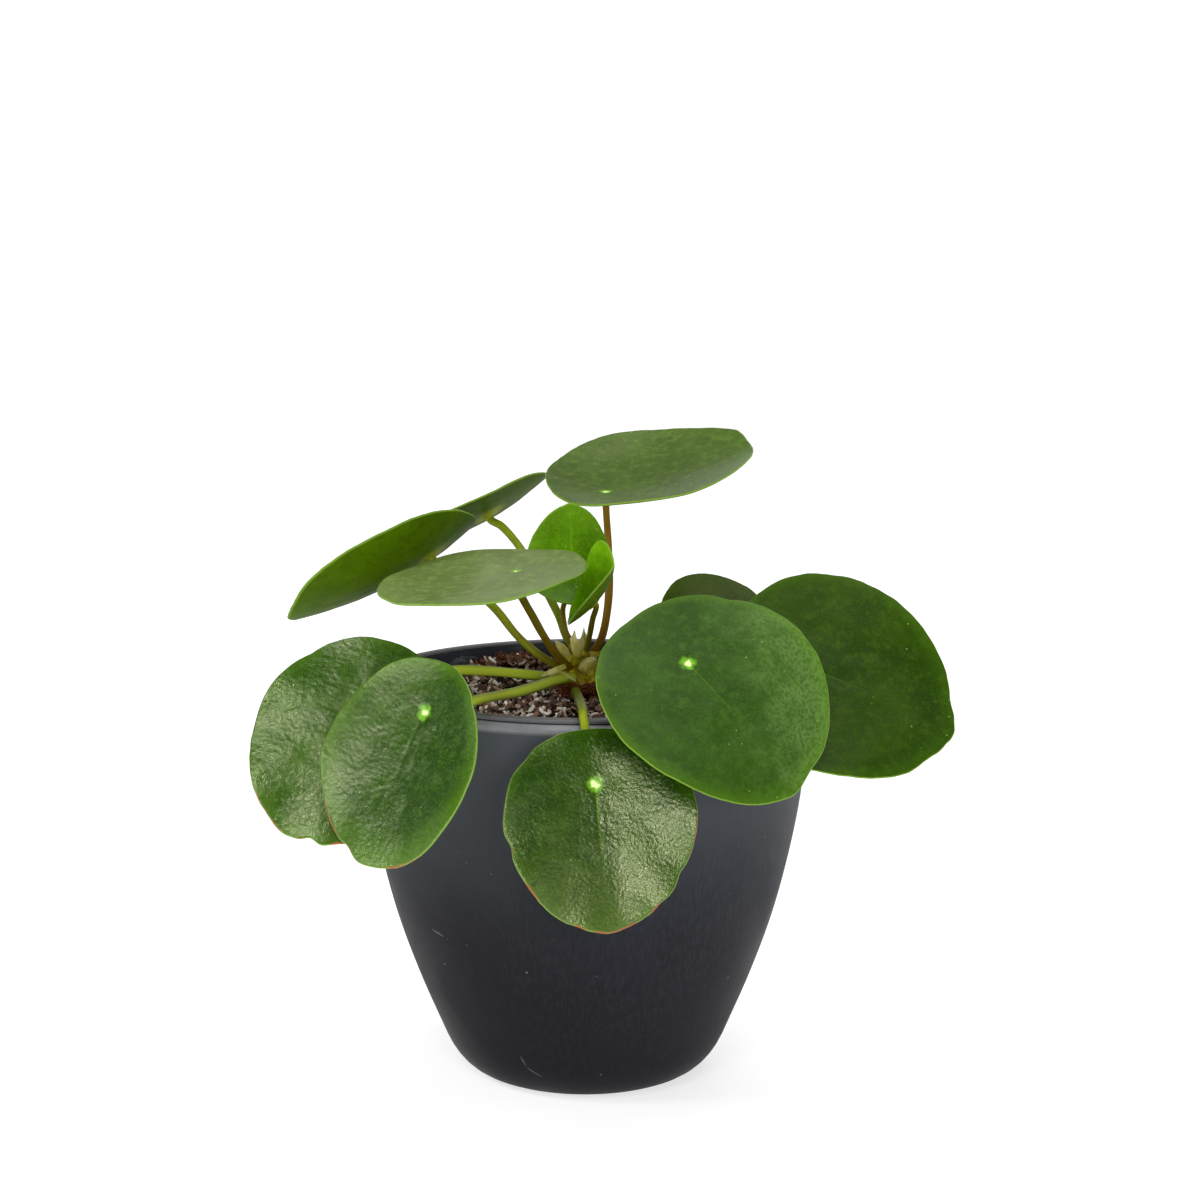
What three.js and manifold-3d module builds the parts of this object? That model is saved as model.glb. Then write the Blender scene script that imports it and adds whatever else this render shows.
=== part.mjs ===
// A young pilea plant with round leaves, standing in a smooth dark pot.
// Millimetres, +Z up. The origin is the centre of the pot's base, and the photograph looks along +Y.
import * as THREE from "three";
import { mergeVertices } from "three/addons/utils/BufferGeometryUtils.js";
import Module from "manifold-3d";

const wasm = await Module();
wasm.setup();

// ---- driving dimensions ----

const GAP = 0.3; // left between pieces that touch

const POT = {
  height: 135,
  segments: 48,
  // Outer wall from the edge of the flat foot up to the bevel, as [radius, height].
  wall: [[47.5, 13.5], [56.5, 35], [63.5, 55], [68.7, 75], [72.5, 95], [74.6, 115], [75, 130]],
  wallSteps: 9,
  footRadius: 30,
  footCorner: [[37.5, 0], [43.5, 4.5]],
  bevelTop: [73.4, 133.3],
  grooveRadius: 72.9,
  grooveHeight: 133.5,
  lipRadius: 73.5,
  lipRounding: 0.8,
  lipInnerRadius: 69.2,
  thickness: 5.5,
  floor: 7,
};

const SOIL = {
  surface: 126.8,
  relief: 1.6,
  rings: 10,
  segments: 40,
  margin: 1, // how far the loose top stays from the pot's wall
};

const STEM = {
  bottom: 108,
  // Half of the short trunk's outline above the soil, as [radius, height].
  outline: [[4.2, 108], [4.2, 127], [4.7, 130.5], [4.3, 135], [4.4, 138.5], [3.4, 142.5], [1.8, 146.5]],
  top: 148,
  collar: 8, // how far a leaf's stalk belongs to the trunk, along the stalk
  sides: 10,
};

const STALK = {
  sides: 8,
  step: 5,
  elbow: 5, // length of the stalk's end that stands square to the blade
};

const BLADE = {
  thickness: 1.2,
  segments: 40,
  rings: 8,
  edgePower: 1.35, // crowds the rings towards the margin
  edgeRounding: 0.4,
  creaseWidth: 1.5,
};

// One entry for each leaf. The hub is the point where the stalk meets the blade.
//   hub      where it is
//   face     direction that the upper side faces
//   tip      direction from the hub to the far end of the blade
//   length, width   of the flat blade
//   back     share of the length that lies behind the hub, towards the near end
//   egg      how much narrower the far end is than the near end
//   bend     sag of the blade along and across its length; a negative one is a cup
//   fold     rise of each half from a crease along the middle, in degrees
//   wave     height of the waves in the margin, with their count round the blade
//   point    how far the far end stands out in a small point
//   nicks    dents in the margin, as [degrees round from the tip, depth, width in degrees]
//   stalk    thickness at the trunk and at the blade
//   route    the stalk's middle line from inside the trunk to just before the blade
const LEAVES = [
  {
    name: "top_right", hub: [7, 20, 194.5], face: [-0.03, -0.17, 0.98], tip: [0.85, 0.51, 0.12],
    length: 71.5, width: 70.5, back: 0.24, egg: 0.08, bend: [-0.28, -0.37], wave: [0.5, 5], point: 0.9,
    nicks: [], stalk: [2.8, 2.4], collar: 12,
    route: [[0.5, 1, 136], [2.4, 3, 141.5], [5.6, 5.5, 147], [7.6, 9.5, 156], [8.3, 13.5, 166], [8, 17, 176]],
  },
  {
    name: "back_left", hub: [-34, 42, 184.5], face: [-0.49, 0.26, 0.83], tip: [-0.5, 0.69, -0.52],
    length: 61.5, width: 61, back: 0.35, egg: 0.07, bend: [-0.29, -0.29], wave: [0.5, 5], point: 0.6,
    nicks: [], stalk: [2.8, 2.6], elbow: 2.5,
    route: [[-1.5, 1, 141], [-6.4, 4.5, 148], [-8.6, 8, 153.5], [-12, 13, 159.5], [-18, 22, 168.8], [-24, 30, 176.5],
      [-29, 36, 181]],
  },
  {
    name: "upper_left", hub: [-52, 6, 175], face: [-0.59, 0.25, 0.77], tip: [-0.81, -0.25, -0.54],
    length: 70, width: 71, back: 0.28, egg: 0, bend: [-0.29, -0.5], wave: [0.5, 4], point: 0.6,
    nicks: [], stalk: [2.8, 2.6],
    route: [[-1, 0, 136], [-5.5, -1, 137.6], [-9.7, -2, 139.3], [-15, -3, 142.5], [-22.4, -3, 149],
      [-30, -1, 158], [-39, 1.5, 165.5]],
  },
  {
    name: "upper_front", hub: [-22, -42, 176.5], face: [-0.12, -0.11, 0.99], tip: [-0.97, -0.2, -0.14],
    length: 66.5, width: 65.5, back: 0.34, egg: -0.05, bend: [-0.02, -0.04], wave: [0.5, 5], point: 0.8,
    nicks: [], stalk: [2.8, 2.4],
    route: [[0, -0.5, 133.5], [-5, -4, 138.3], [-9.6, -9, 144], [-13.8, -17, 152], [-17, -25, 159.5], [-19.3, -32, 165]],
  },
  {
    name: "young_upright", hub: [-2.5, -10, 167], face: [0.32, -0.7, 0.64], tip: [-0.22, 0.61, 0.76],
    length: 34, width: 32.5, back: 0.24, egg: 0.1, bend: [-0.5, 0.24], wave: [0.3, 4], point: 0.6,
    nicks: [[238, 3.6, 42]], stalk: [1.9, 1.7], elbow: 3.5, thickness: 0.9, segments: 32,
    route: [[-1, 0, 141], [-5.4, -1, 147.5], [-7, -0.5, 153], [-7.2, -1.5, 159]],
  },
  {
    name: "young_folded", hub: [2.4, -27, 164.3], face: [-0.81, -0.23, 0.54], tip: [0.56, -0.59, 0.58],
    length: 30, width: 29.5, back: 0.37, egg: -0.32, bend: [-0.39, -0.39], fold: 18, wave: [0.2, 4], point: 0.4,
    nicks: [], stalk: [2, 1.8], elbow: 1.4, thickness: 0.9, segments: 32,
    route: [[0, -0.5, 139], [0.5, -4, 144.4], [1.4, -10, 150], [2.5, -19, 157.5]],
  },
  {
    name: "right_front", hub: [31.5, -78, 153.5], face: [0.17, -0.67, 0.72], tip: [0.64, -0.48, -0.6],
    length: 74.5, width: 73.5, back: 0.32, egg: 0.06, bend: [0.21, -0.15], wave: [0.7, 5], point: 0.9,
    nicks: [[17, 0.8, 9], [133, 0.8, 6], [220, 0.3, 8]], stalk: [3.4, 2.8],
    route: [[0, -0.5, 137], [6, -9, 139.5], [12, -25, 142], [19, -43, 145], [26, -61, 147.5]],
  },
  {
    name: "right_back", hub: [65, -51, 149], face: [0.08, -0.69, 0.72], tip: [0.93, -0.2, -0.3],
    length: 78, width: 77, back: 0.3, egg: 0.12, bend: [0.21, -0.14], wave: [0.7, 5], point: 1.1,
    nicks: [[22, 0.7, 8], [335, 0.9, 8]], stalk: [3.4, 2.8],
    route: [[0.5, 0, 138], [8.5, -4.5, 142], [20, -14, 144], [36, -27, 146], [52, -38, 146]],
  },
  {
    name: "small_right", hub: [40.5, 12, 148], face: [0.21, -0.7, 0.68], tip: [0.6, 0.64, 0.48],
    length: 40, width: 39.5, back: 0.3, egg: 0.04, bend: [0.14, -0.03], wave: [0.3, 4], point: 0.4,
    nicks: [], stalk: [2.3, 2], thickness: 1, segments: 32,
    route: [[0.5, 0.5, 139], [8, 2.5, 143.5], [18, 7, 145.5], [29, 12.5, 144]],
  },
  {
    name: "left_back", hub: [-69, -57, 138], face: [-0.27, -0.8, 0.54], tip: [-0.4, -0.42, -0.82],
    length: 69.5, width: 68, back: 0.3, egg: 0.06, bend: [0.04, 0.06], wave: [0.7, 6], point: 0,
    nicks: [[5, 1.2, 5], [13, -0.6, 5], [346, -0.9, 8], [228, 0.7, 6]], stalk: [3.5, 3],
    route: [[-1, -1, 134], [-6, -1.5, 134.8], [-12, -4, 135.6], [-17.3, -9, 137], [-24, -16, 139], [-33, -26, 141.6],
      [-42, -36, 143.6], [-52, -44, 143]],
  },
  {
    name: "left_front", hub: [-48.5, -89, 140.5], face: [-0.63, -0.68, 0.38], tip: [-0.41, -0.12, -0.9],
    length: 65.5, width: 64, back: 0.25, egg: -0.03, bend: [0.02, -0.2], wave: [0.6, 5], point: 0.8,
    nicks: [[142, 0.5, 6], [348, 0.8, 7]], stalk: [3.8, 3],
    route: [[-0.5, -1.5, 134.5], [-5.5, -7, 135.7], [-10.3, -14, 136], [-14.8, -22, 136], [-21.3, -35, 136.5],
      [-28, -49, 137.8], [-34.5, -64, 139.3], [-40, -76, 139.5]],
  },
  {
    name: "front_hanging", hub: [3, -88, 118], face: [0.25, -0.92, 0.3], tip: [0.1, -0.28, -0.95],
    length: 62.5, width: 61, back: 0.28, egg: 0.12, bend: [0.07, -0.03], fold: 6, wave: [0.7, 7], point: 0.4,
    nicks: [[184, 0.5, 8], [222, 0.7, 7], [276, 1, 5], [338, 0.5, 7], [59, 0.8, 5], [38, 0.6, 6]],
    stalk: [3.6, 2.6], elbow: 3.5,
    route: [[-0.8, -1, 131.2], [-3, -10, 131.6], [-2.3, -30, 133.8], [-1.5, -52, 136.2], [-0.8, -69, 137.8],
      [-0.4, -77.5, 136.3], [0.6, -80.6, 131], [2.6, -81.4, 122.5]],
  },
];

// Dry papery scales round the growing tip: foot, point, direction the flat side faces, width.
const SCALES = [
  { foot: [-1.9, -4.4, 142], point: [-1.7, -4, 150.6], face: [0.1, -1, 0.1], width: 5.2 },
  { foot: [-5.2, -1.6, 141], point: [-9.8, -1.4, 147.4], face: [-0.2, -1, 0.2], width: 3.8 },
  { foot: [-6.8, -8.6, 135.2], point: [-12.2, -8.8, 138.6], face: [-0.3, -0.8, 0.6], width: 3.6 },
  { foot: [0.2, -6.4, 137.2], point: [4.6, -7.8, 142.6], face: [0.3, -0.9, 0.3], width: 4.8 },
];
const SCALE_THICKNESS = 0.7;

// ---- materials ----

const finish = (color, roughness) =>
  new THREE.MeshStandardMaterial({ color, roughness, metalness: 0 });

const potFinish = finish(0x3a3c42, 0.7);
const soilFinish = finish(0x4a3024, 1);
const trunkFinish = finish(0x84802f, 0.6);
const stalkFinish = finish(0x808a34, 0.5);
const bladeFinish = finish(0x3f7a2a, 0.4);
const youngFinish = finish(0x55a018, 0.4);
const scaleFinish = finish(0xcdbb86, 0.8);

// ---- solids ----

const vector = (p) => new THREE.Vector3(...p);

function solidOf(geometry) {
  const bare = geometry.clone();
  bare.deleteAttribute("normal");
  bare.deleteAttribute("uv");
  const merged = mergeVertices(bare, 1e-3);
  return new wasm.Manifold(
    new wasm.Mesh({
      numProp: 3,
      vertProperties: merged.attributes.position.array,
      triVerts: new Uint32Array(merged.index.array),
    }),
  );
}

function geometryOf(solid) {
  const mesh = solid.getMesh();
  const geometry = new THREE.BufferGeometry();
  geometry.setAttribute("position", new THREE.BufferAttribute(mesh.vertProperties.slice(), 3));
  geometry.setIndex(new THREE.BufferAttribute(mesh.triVerts.slice(), 1));
  return geometry;
}

// Moves each vertex of a geometry to the place that a function gives for it.
function reshape(geometry, place) {
  const position = geometry.attributes.position;
  const point = new THREE.Vector3();
  for (let i = 0; i < position.count; i++) {
    point.fromBufferAttribute(position, i);
    place(point);
    position.setXYZ(i, point.x, point.y, point.z);
  }
  return geometry;
}

// Turns a profile of [radius, height] round the Z axis. The profile runs upwards on the outside.
function turned(profile, segments) {
  const points = profile.map(([radius, height]) => new THREE.Vector2(radius, height));
  return new THREE.LatheGeometry(points, segments).rotateX(Math.PI / 2);
}

function splinePoints(points, steps) {
  const spline = new THREE.SplineCurve(points.map((p) => new THREE.Vector2(...p)));
  return spline.getPoints(steps).map((p) => [p.x, p.y]);
}

// ---- pot and potting mix ----

// Radius of the pot's outer wall at a height between its foot corner and its bevel.
function wallRadius(height) {
  const upper = POT.wall.findIndex((p) => p[1] >= height);
  const [r0, z0] = POT.wall[Math.max(upper - 1, 0)];
  const [r1, z1] = POT.wall[Math.max(upper, 1)];
  return r0 + ((r1 - r0) * (height - z0)) / (z1 - z0);
}

// The hollow's wall from the floor's edge up to the mouth, as [radius, height].
function hollowWall(clearance) {
  const heights = [40, 70, 100, 122];
  const wall = heights.map((z) => [wallRadius(z) - POT.thickness - clearance, z]);
  const floorEdge = [wallRadius(20) - POT.thickness - clearance, 20];
  return [[34 - clearance, POT.floor + clearance], [41 - clearance, POT.floor + 4], floorEdge, ...wall];
}

function pot() {
  const corner = new THREE.CubicBezierCurve(
    new THREE.Vector2(POT.footRadius, 0),
    new THREE.Vector2(...POT.footCorner[0]),
    new THREE.Vector2(...POT.footCorner[1]),
    new THREE.Vector2(...POT.wall[0]),
  );
  const foot = corner.getPoints(5).slice(0, -1).map((p) => [p.x, p.y]);
  const lipTop = POT.height;
  const lip = [
    POT.bevelTop,
    [POT.grooveRadius, POT.grooveHeight],
    [POT.lipRadius, POT.grooveHeight + 0.3],
    [POT.lipRadius, lipTop - POT.lipRounding],
    [POT.lipRadius - POT.lipRounding, lipTop],
    [POT.lipInnerRadius + POT.lipRounding, lipTop],
    [POT.lipInnerRadius, lipTop - POT.lipRounding],
  ];
  const outside = [[0, 0], ...foot, ...splinePoints(POT.wall, POT.wallSteps), ...lip];
  const inside = [...hollowWall(0)].reverse();
  return turned([...outside, ...inside, [0, POT.floor]], POT.segments);
}

// A repeatable number from -1 to 1 for a place on the soil.
function crumb(x, y) {
  const seed = Math.sin(x * 12.9898 + y * 78.233) * 43758.5453;
  return (seed - Math.floor(seed)) * 2 - 1;
}

function pottingMix() {
  const wall = hollowWall(GAP);
  const rim = [wallRadius(SOIL.surface) - POT.thickness - SOIL.margin, SOIL.surface - SOIL.relief];
  const top = [];
  for (let ring = SOIL.rings - 1; ring > 0; ring--) {
    top.push([(rim[0] * ring) / SOIL.rings, SOIL.surface]);
  }
  const profile = [[0, wall[0][1]], ...wall, rim, ...top, [0, SOIL.surface]];
  const heap = reshape(turned(profile, SOIL.segments), (p) => {
    if (Math.abs(p.z - SOIL.surface) > 0.01) return;
    const x = Math.round(p.x * 10) / 10;
    const y = Math.round(p.y * 10) / 10;
    p.z += SOIL.relief * crumb(x, y);
  });
  const holeRadius = STEM.outline[0][0] + GAP;
  const depth = SOIL.surface + SOIL.relief - STEM.bottom + GAP + 5;
  const hole = new THREE.CylinderGeometry(holeRadius, holeRadius, depth, STEM.sides + 2);
  hole.rotateX(Math.PI / 2).translate(0, 0, STEM.bottom - GAP + depth / 2);
  return geometryOf(solidOf(heap).subtract(solidOf(hole)));
}

// ---- leaf stalks and trunk ----

function leafAxes(leaf) {
  const up = vector(leaf.face).normalize();
  const tip = vector(leaf.tip).projectOnPlane(up).normalize();
  const side = new THREE.Vector3().crossVectors(up, tip);
  return new THREE.Matrix4().makeBasis(tip, side, up);
}

function stalkCurve(leaf) {
  const up = vector(leaf.face).normalize();
  const hub = vector(leaf.hub);
  const elbow = hub.clone().addScaledVector(up, -(leaf.elbow ?? STALK.elbow));
  const underside = (leaf.thickness ?? BLADE.thickness) / 2;
  const end = hub.clone().addScaledVector(up, -underside - GAP);
  return new THREE.CatmullRomCurve3([...leaf.route.map(vector), elbow, end], false, "centripetal");
}

// A closed round tube along part of a curve, tapering from one thickness to the other.
function tube(curve, from, to, thickness, sides, grow = 0) {
  const length = curve.getLength();
  const steps = Math.max(2, Math.round(((to - from) * length) / STALK.step));
  const geometry = new THREE.CylinderGeometry(1, 1, 1, sides, steps);
  const start = curve.getTangentAt(from);
  const across = new THREE.Vector3(0, 0, 1).cross(start);
  if (across.length() < 0.2) across.set(1, 0, 0);
  return reshape(geometry, (p) => {
    const t = from + (to - from) * (0.5 - p.y);
    const centre = curve.getPointAt(t);
    const along = curve.getTangentAt(t);
    const first = across.clone().projectOnPlane(along).normalize();
    const second = new THREE.Vector3().crossVectors(first, along);
    const radius = (thickness[0] + (thickness[1] - thickness[0]) * t) / 2 + grow;
    p.copy(centre.addScaledVector(first, p.x * radius).addScaledVector(second, -p.z * radius));
  });
}

// The share of a stalk's curve that belongs to the trunk.
const collarShare = (leaf, curve) => (leaf.collar ?? STEM.collar) / curve.getLength();

function stalk(leaf) {
  const curve = stalkCurve(leaf);
  const gapShare = GAP / curve.getLength();
  return tube(curve, collarShare(leaf, curve) + gapShare, 1, leaf.stalk, STALK.sides);
}

// The short trunk with the first stretch of every leaf stalk, which grows out of it.
function trunk(grow = 0) {
  const outline = STEM.outline.map(([radius, height]) => [radius + grow, height]);
  const profile = [[0, STEM.bottom], ...outline, [0, STEM.top + grow]];
  let solid = solidOf(turned(profile, STEM.sides));
  for (const leaf of LEAVES) {
    const curve = stalkCurve(leaf);
    const collar = tube(curve, 0, collarShare(leaf, curve), leaf.stalk, STALK.sides, grow);
    solid = solid.add(solidOf(collar));
  }
  return solid;
}

// ---- papery scales ----

function scale(piece, blocked) {
  const foot = vector(piece.foot);
  const along = vector(piece.point).sub(foot);
  const length = along.length();
  const up = vector(piece.face).projectOnPlane(along).normalize();
  const side = new THREE.Vector3().crossVectors(along, up).normalize();
  const half = piece.width / 2;
  const outline = new THREE.Shape();
  outline.moveTo(-half * 0.6, 0);
  outline.lineTo(half * 0.6, 0);
  outline.quadraticCurveTo(half * 1.3, length * 0.45, 0, length);
  outline.quadraticCurveTo(-half * 1.3, length * 0.45, -half * 0.6, 0);
  const sheet = new THREE.ExtrudeGeometry(outline, {
    depth: SCALE_THICKNESS, steps: 1, bevelEnabled: false, curveSegments: 4,
  });
  sheet.applyMatrix4(new THREE.Matrix4().makeBasis(side, along.normalize(), up));
  sheet.translate(foot.x, foot.y, foot.z);
  let solid = solidOf(sheet);
  for (const other of blocked) solid = solid.subtract(other);
  const largest = solid.decompose().sort((a, b) => b.volume() - a.volume())[0];
  return geometryOf(largest);
}

// ---- leaf blades ----

// Distance round the margin varies with the point at the tip and the nicks.
function marginScale(leaf, degrees) {
  const apart = (other) => Math.abs(((degrees - other + 540) % 360) - 180);
  const bump = (centre, height, width) => height * Math.exp(-((apart(centre) / width) ** 2));
  let offset = bump(0, leaf.point, 9);
  for (const [centre, depth, width] of leaf.nicks) offset -= bump(centre, depth, width);
  return 1 + (2 * offset) / leaf.length;
}

function bladeGeometry(leaf) {
  const { length, width, back, egg } = leaf;
  const [bendLong, bendWide] = leaf.bend;
  const rise = THREE.MathUtils.degToRad(leaf.fold ?? 0);
  const halfThickness = (leaf.thickness ?? BLADE.thickness) / 2;

  // The blade's middle sheet above its flat plan, with the tip along +X.
  const sheet = (u, v) => {
    const crease = Math.hypot(v, BLADE.creaseWidth) - BLADE.creaseWidth;
    const sag = (bendLong * u * u + bendWide * v * v) / length;
    return new THREE.Vector3(u, v * Math.cos(rise), crease * Math.sin(rise) - sag);
  };
  const normal = (u, v) => {
    const step = 0.1;
    const alongU = sheet(u + step, v).sub(sheet(u - step, v));
    const alongV = sheet(u, v + step).sub(sheet(u, v - step));
    return alongU.cross(alongV).normalize();
  };

  const ball = new THREE.SphereGeometry(1, leaf.segments ?? BLADE.segments, BLADE.rings);
  return reshape(ball.rotateX(Math.PI / 2), (p) => {
    const side = THREE.MathUtils.clamp(p.z, -1, 1);
    const reach = 1 - (1 - Math.min(Math.hypot(p.x, p.y), 1)) ** BLADE.edgePower;
    const angle = Math.atan2(p.y, p.x);
    const degrees = (THREE.MathUtils.radToDeg(angle) + 360) % 360;
    const scaleHere = marginScale(leaf, degrees);
    const u = reach * (length / 2) * (Math.cos(angle) * scaleHere + 1 - 2 * back);
    const v = reach * (width / 2) * Math.sin(angle) * (1 - egg * Math.cos(angle)) * scaleHere;
    const ripple = leaf.wave[0] * reach ** 4 * Math.sin(leaf.wave[1] * angle + leaf.hub[0]);
    const offset = halfThickness * Math.sign(side) * Math.abs(side) ** BLADE.edgeRounding;
    p.copy(sheet(u, v).addScaledVector(normal(u, v), offset));
    p.z += ripple;
  });
}

function blade(leaf) {
  const material = leaf.name.startsWith("young") ? youngFinish : bladeFinish;
  const mesh = new THREE.Mesh(bladeGeometry(leaf), material);
  mesh.name = "blade_" + leaf.name;
  mesh.position.set(...leaf.hub);
  mesh.quaternion.setFromRotationMatrix(leafAxes(leaf));
  return mesh;
}

// ---- assembly ----

function piece(name, geometry, material) {
  const mesh = new THREE.Mesh(geometry, material);
  mesh.name = name;
  return mesh;
}

const plant = new THREE.Group();
plant.add(piece("pot", pot(), potFinish));
plant.add(piece("potting_mix", pottingMix(), soilFinish));
plant.add(piece("trunk", geometryOf(trunk()), trunkFinish));

const stalks = LEAVES.map((leaf) => piece("stalk_" + leaf.name, stalk(leaf), stalkFinish));
plant.add(...stalks, ...LEAVES.map(blade));

const clearOf = [trunk(GAP), ...stalks.map((mesh) => solidOf(mesh.geometry))];
SCALES.forEach((entry, i) => {
  plant.add(piece("scale_" + (i + 1), scale(entry, clearOf), scaleFinish));
});

export default plant;
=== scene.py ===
"""A young pilea plant in a smooth dark pot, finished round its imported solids.

The file is laid out as an add-on for the 3D view's sidebar, and runs as a script. Each operator makes one
piece or one group of like pieces. The tables hold millimetres, and the scene is in metres.
"""
import math
import random

import bpy
import numpy as np
from mathutils import Matrix, Vector, noise


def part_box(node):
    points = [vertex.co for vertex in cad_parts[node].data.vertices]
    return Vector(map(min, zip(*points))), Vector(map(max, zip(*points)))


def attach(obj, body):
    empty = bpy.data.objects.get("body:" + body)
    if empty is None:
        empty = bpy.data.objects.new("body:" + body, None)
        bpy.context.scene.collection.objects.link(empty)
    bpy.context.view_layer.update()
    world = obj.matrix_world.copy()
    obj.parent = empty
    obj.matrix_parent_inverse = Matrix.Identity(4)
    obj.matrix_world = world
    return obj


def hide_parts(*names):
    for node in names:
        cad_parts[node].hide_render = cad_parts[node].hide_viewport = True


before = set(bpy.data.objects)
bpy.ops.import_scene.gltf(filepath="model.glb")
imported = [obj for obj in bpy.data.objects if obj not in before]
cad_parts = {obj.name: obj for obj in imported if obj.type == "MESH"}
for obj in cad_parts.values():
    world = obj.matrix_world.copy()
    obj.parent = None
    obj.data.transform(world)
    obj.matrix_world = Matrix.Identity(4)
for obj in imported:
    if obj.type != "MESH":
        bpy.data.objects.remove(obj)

bl_info = {
    "name": "Potted pilea",
    "version": (1, 0, 0),
    "blender": (4, 5, 0),
    "location": "3D View > Sidebar > Pilea",
    "description": "Makes a potted pilea plant piece by piece",
    "category": "Object",
}

MM = 0.001

# The camera stands where the photograph was taken from: metres, degrees, and millimetres of lens and sensor.
CAMERA = {"place": (0, -0.9, 0.305), "pitch": 9.1, "lens": 81.8, "sensor": 36, "shift": 0.0125}

# ---- sizes ----

# Pot: its height, the heights where the bevel begins and where the inner wall ends, and its outline as
# (radius, height). The foot's four points are those of a Bezier curve.
POT = {
    "height": 135, "bevel": 130.2, "mouth": 134.5,
    "wall": [(47.5, 13.5), (56.5, 35), (63.5, 55), (68.7, 75), (72.5, 95), (74.6, 115), (75, 130)],
    "foot": [(30, 0), (37.5, 0), (43.5, 4.5), (47.5, 13.5)],
    "rounding": [(75, 131.2), (74.85, 132)],
    "lip": [(73.4, 133.3), (72.9, 133.45), (72.9, 133.7), (73.5, 133.8), (73.5, 134.5), (73.3, 134.85),
            (72.8, 135), (70, 135), (69.4, 134.8), (69.2, 134.3)],
    "inside": [(69.3, 122), (67.7, 100), (61.9, 70), (52.6, 40), (44.7, 20), (41, 11), (34, 7)],
}

# Potting mix: its radius, the height of its loose top, how far the ground lies under that and how deep it
# goes, the radii between which loose bits lie, and the seed that strews them.
SOIL = {"radius": 68, "surface": 126.6, "sink": 1.2, "depth": 8, "bits_from": 5.2, "bits_to": 67.2, "seed": 7}

# Low heap under the fibre clump: place, width each way, height.
HEAP = {"place": (-26, 52), "width": (17, 11), "height": 4.2}

# Plain shapes of the loose bits: size on each axis, and where they are cut across so that they can bend.
BIT_SHAPES = {
    "chip": ((1, 0.5, 0.3), (0,)),
    "flake": ((1, 0.45, 0.14), (-0.25, 0, 0.25)),
    "grain": ((1, 0.8, 0.7), ()),
    "fibre": ((1, 1, 1), (-0.25, 0, 0.25)),
}

# Loose bits on the potting mix, in the order in which they are drawn.
#   count, shape       name of the setting, and kind of bit
#   size, wide, high   length in millimetres, and width and height as shares of the plain shape's
#   rise               height of the middle over the ground
#   lean, bow          how much they tilt and curl
BITS = {
    "bark_chips": dict(count="bark_chips", shape="chip", size=(1.2, 3.6), wide=(0.7, 1.5), high=(0.8, 1.4),
                       rise=(-0.8, 0.4), lean=0.5, bow=(0, 0)),
    "bark_flakes": dict(count="flakes", shape="flake", size=(1.6, 5), wide=(0.4, 1.3), high=(0.7, 1.3),
                        rise=(-0.3, 1.2), lean=0.6, bow=(-1.3, 1.3)),
    "pale_slivers": dict(count="pale_chips", shape="flake", size=(1.4, 4.2), wide=(0.4, 0.8), high=(1, 2),
                         rise=(0.6, 1.8), lean=0.6, bow=(-1.2, 1.2)),
    "pale_grains": dict(count="pale_chips", shape="grain", size=(0.5, 1.7), wide=(0.8, 1.2), high=(0.6, 1),
                        rise=(0.5, 1.5), lean=0.8, bow=(0, 0)),
}
# Fibres: the clump at the back has a middle and a spread each way, and the hairs at the trunk fill a box.
CLUMP = dict(place=((-26.5, 8), (54.5, 4.5)), reach=66.5, rise=(-0.6, 0.9), size=(3, 8), thick=(4, 9),
             lean=0.4, bow=(-1, 1))
HAIRS = dict(place=((-9.5, 4), (-10.2, -7), (130.6, 134.2)), size=(2, 5), thick=(3, 6), lean=0.5,
             bow=(-1.5, 1.5))
FLAKE_BROWN = (18, 19, 18)  # how many times lighter than the bark the flakes' red, green and blue are

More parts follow.
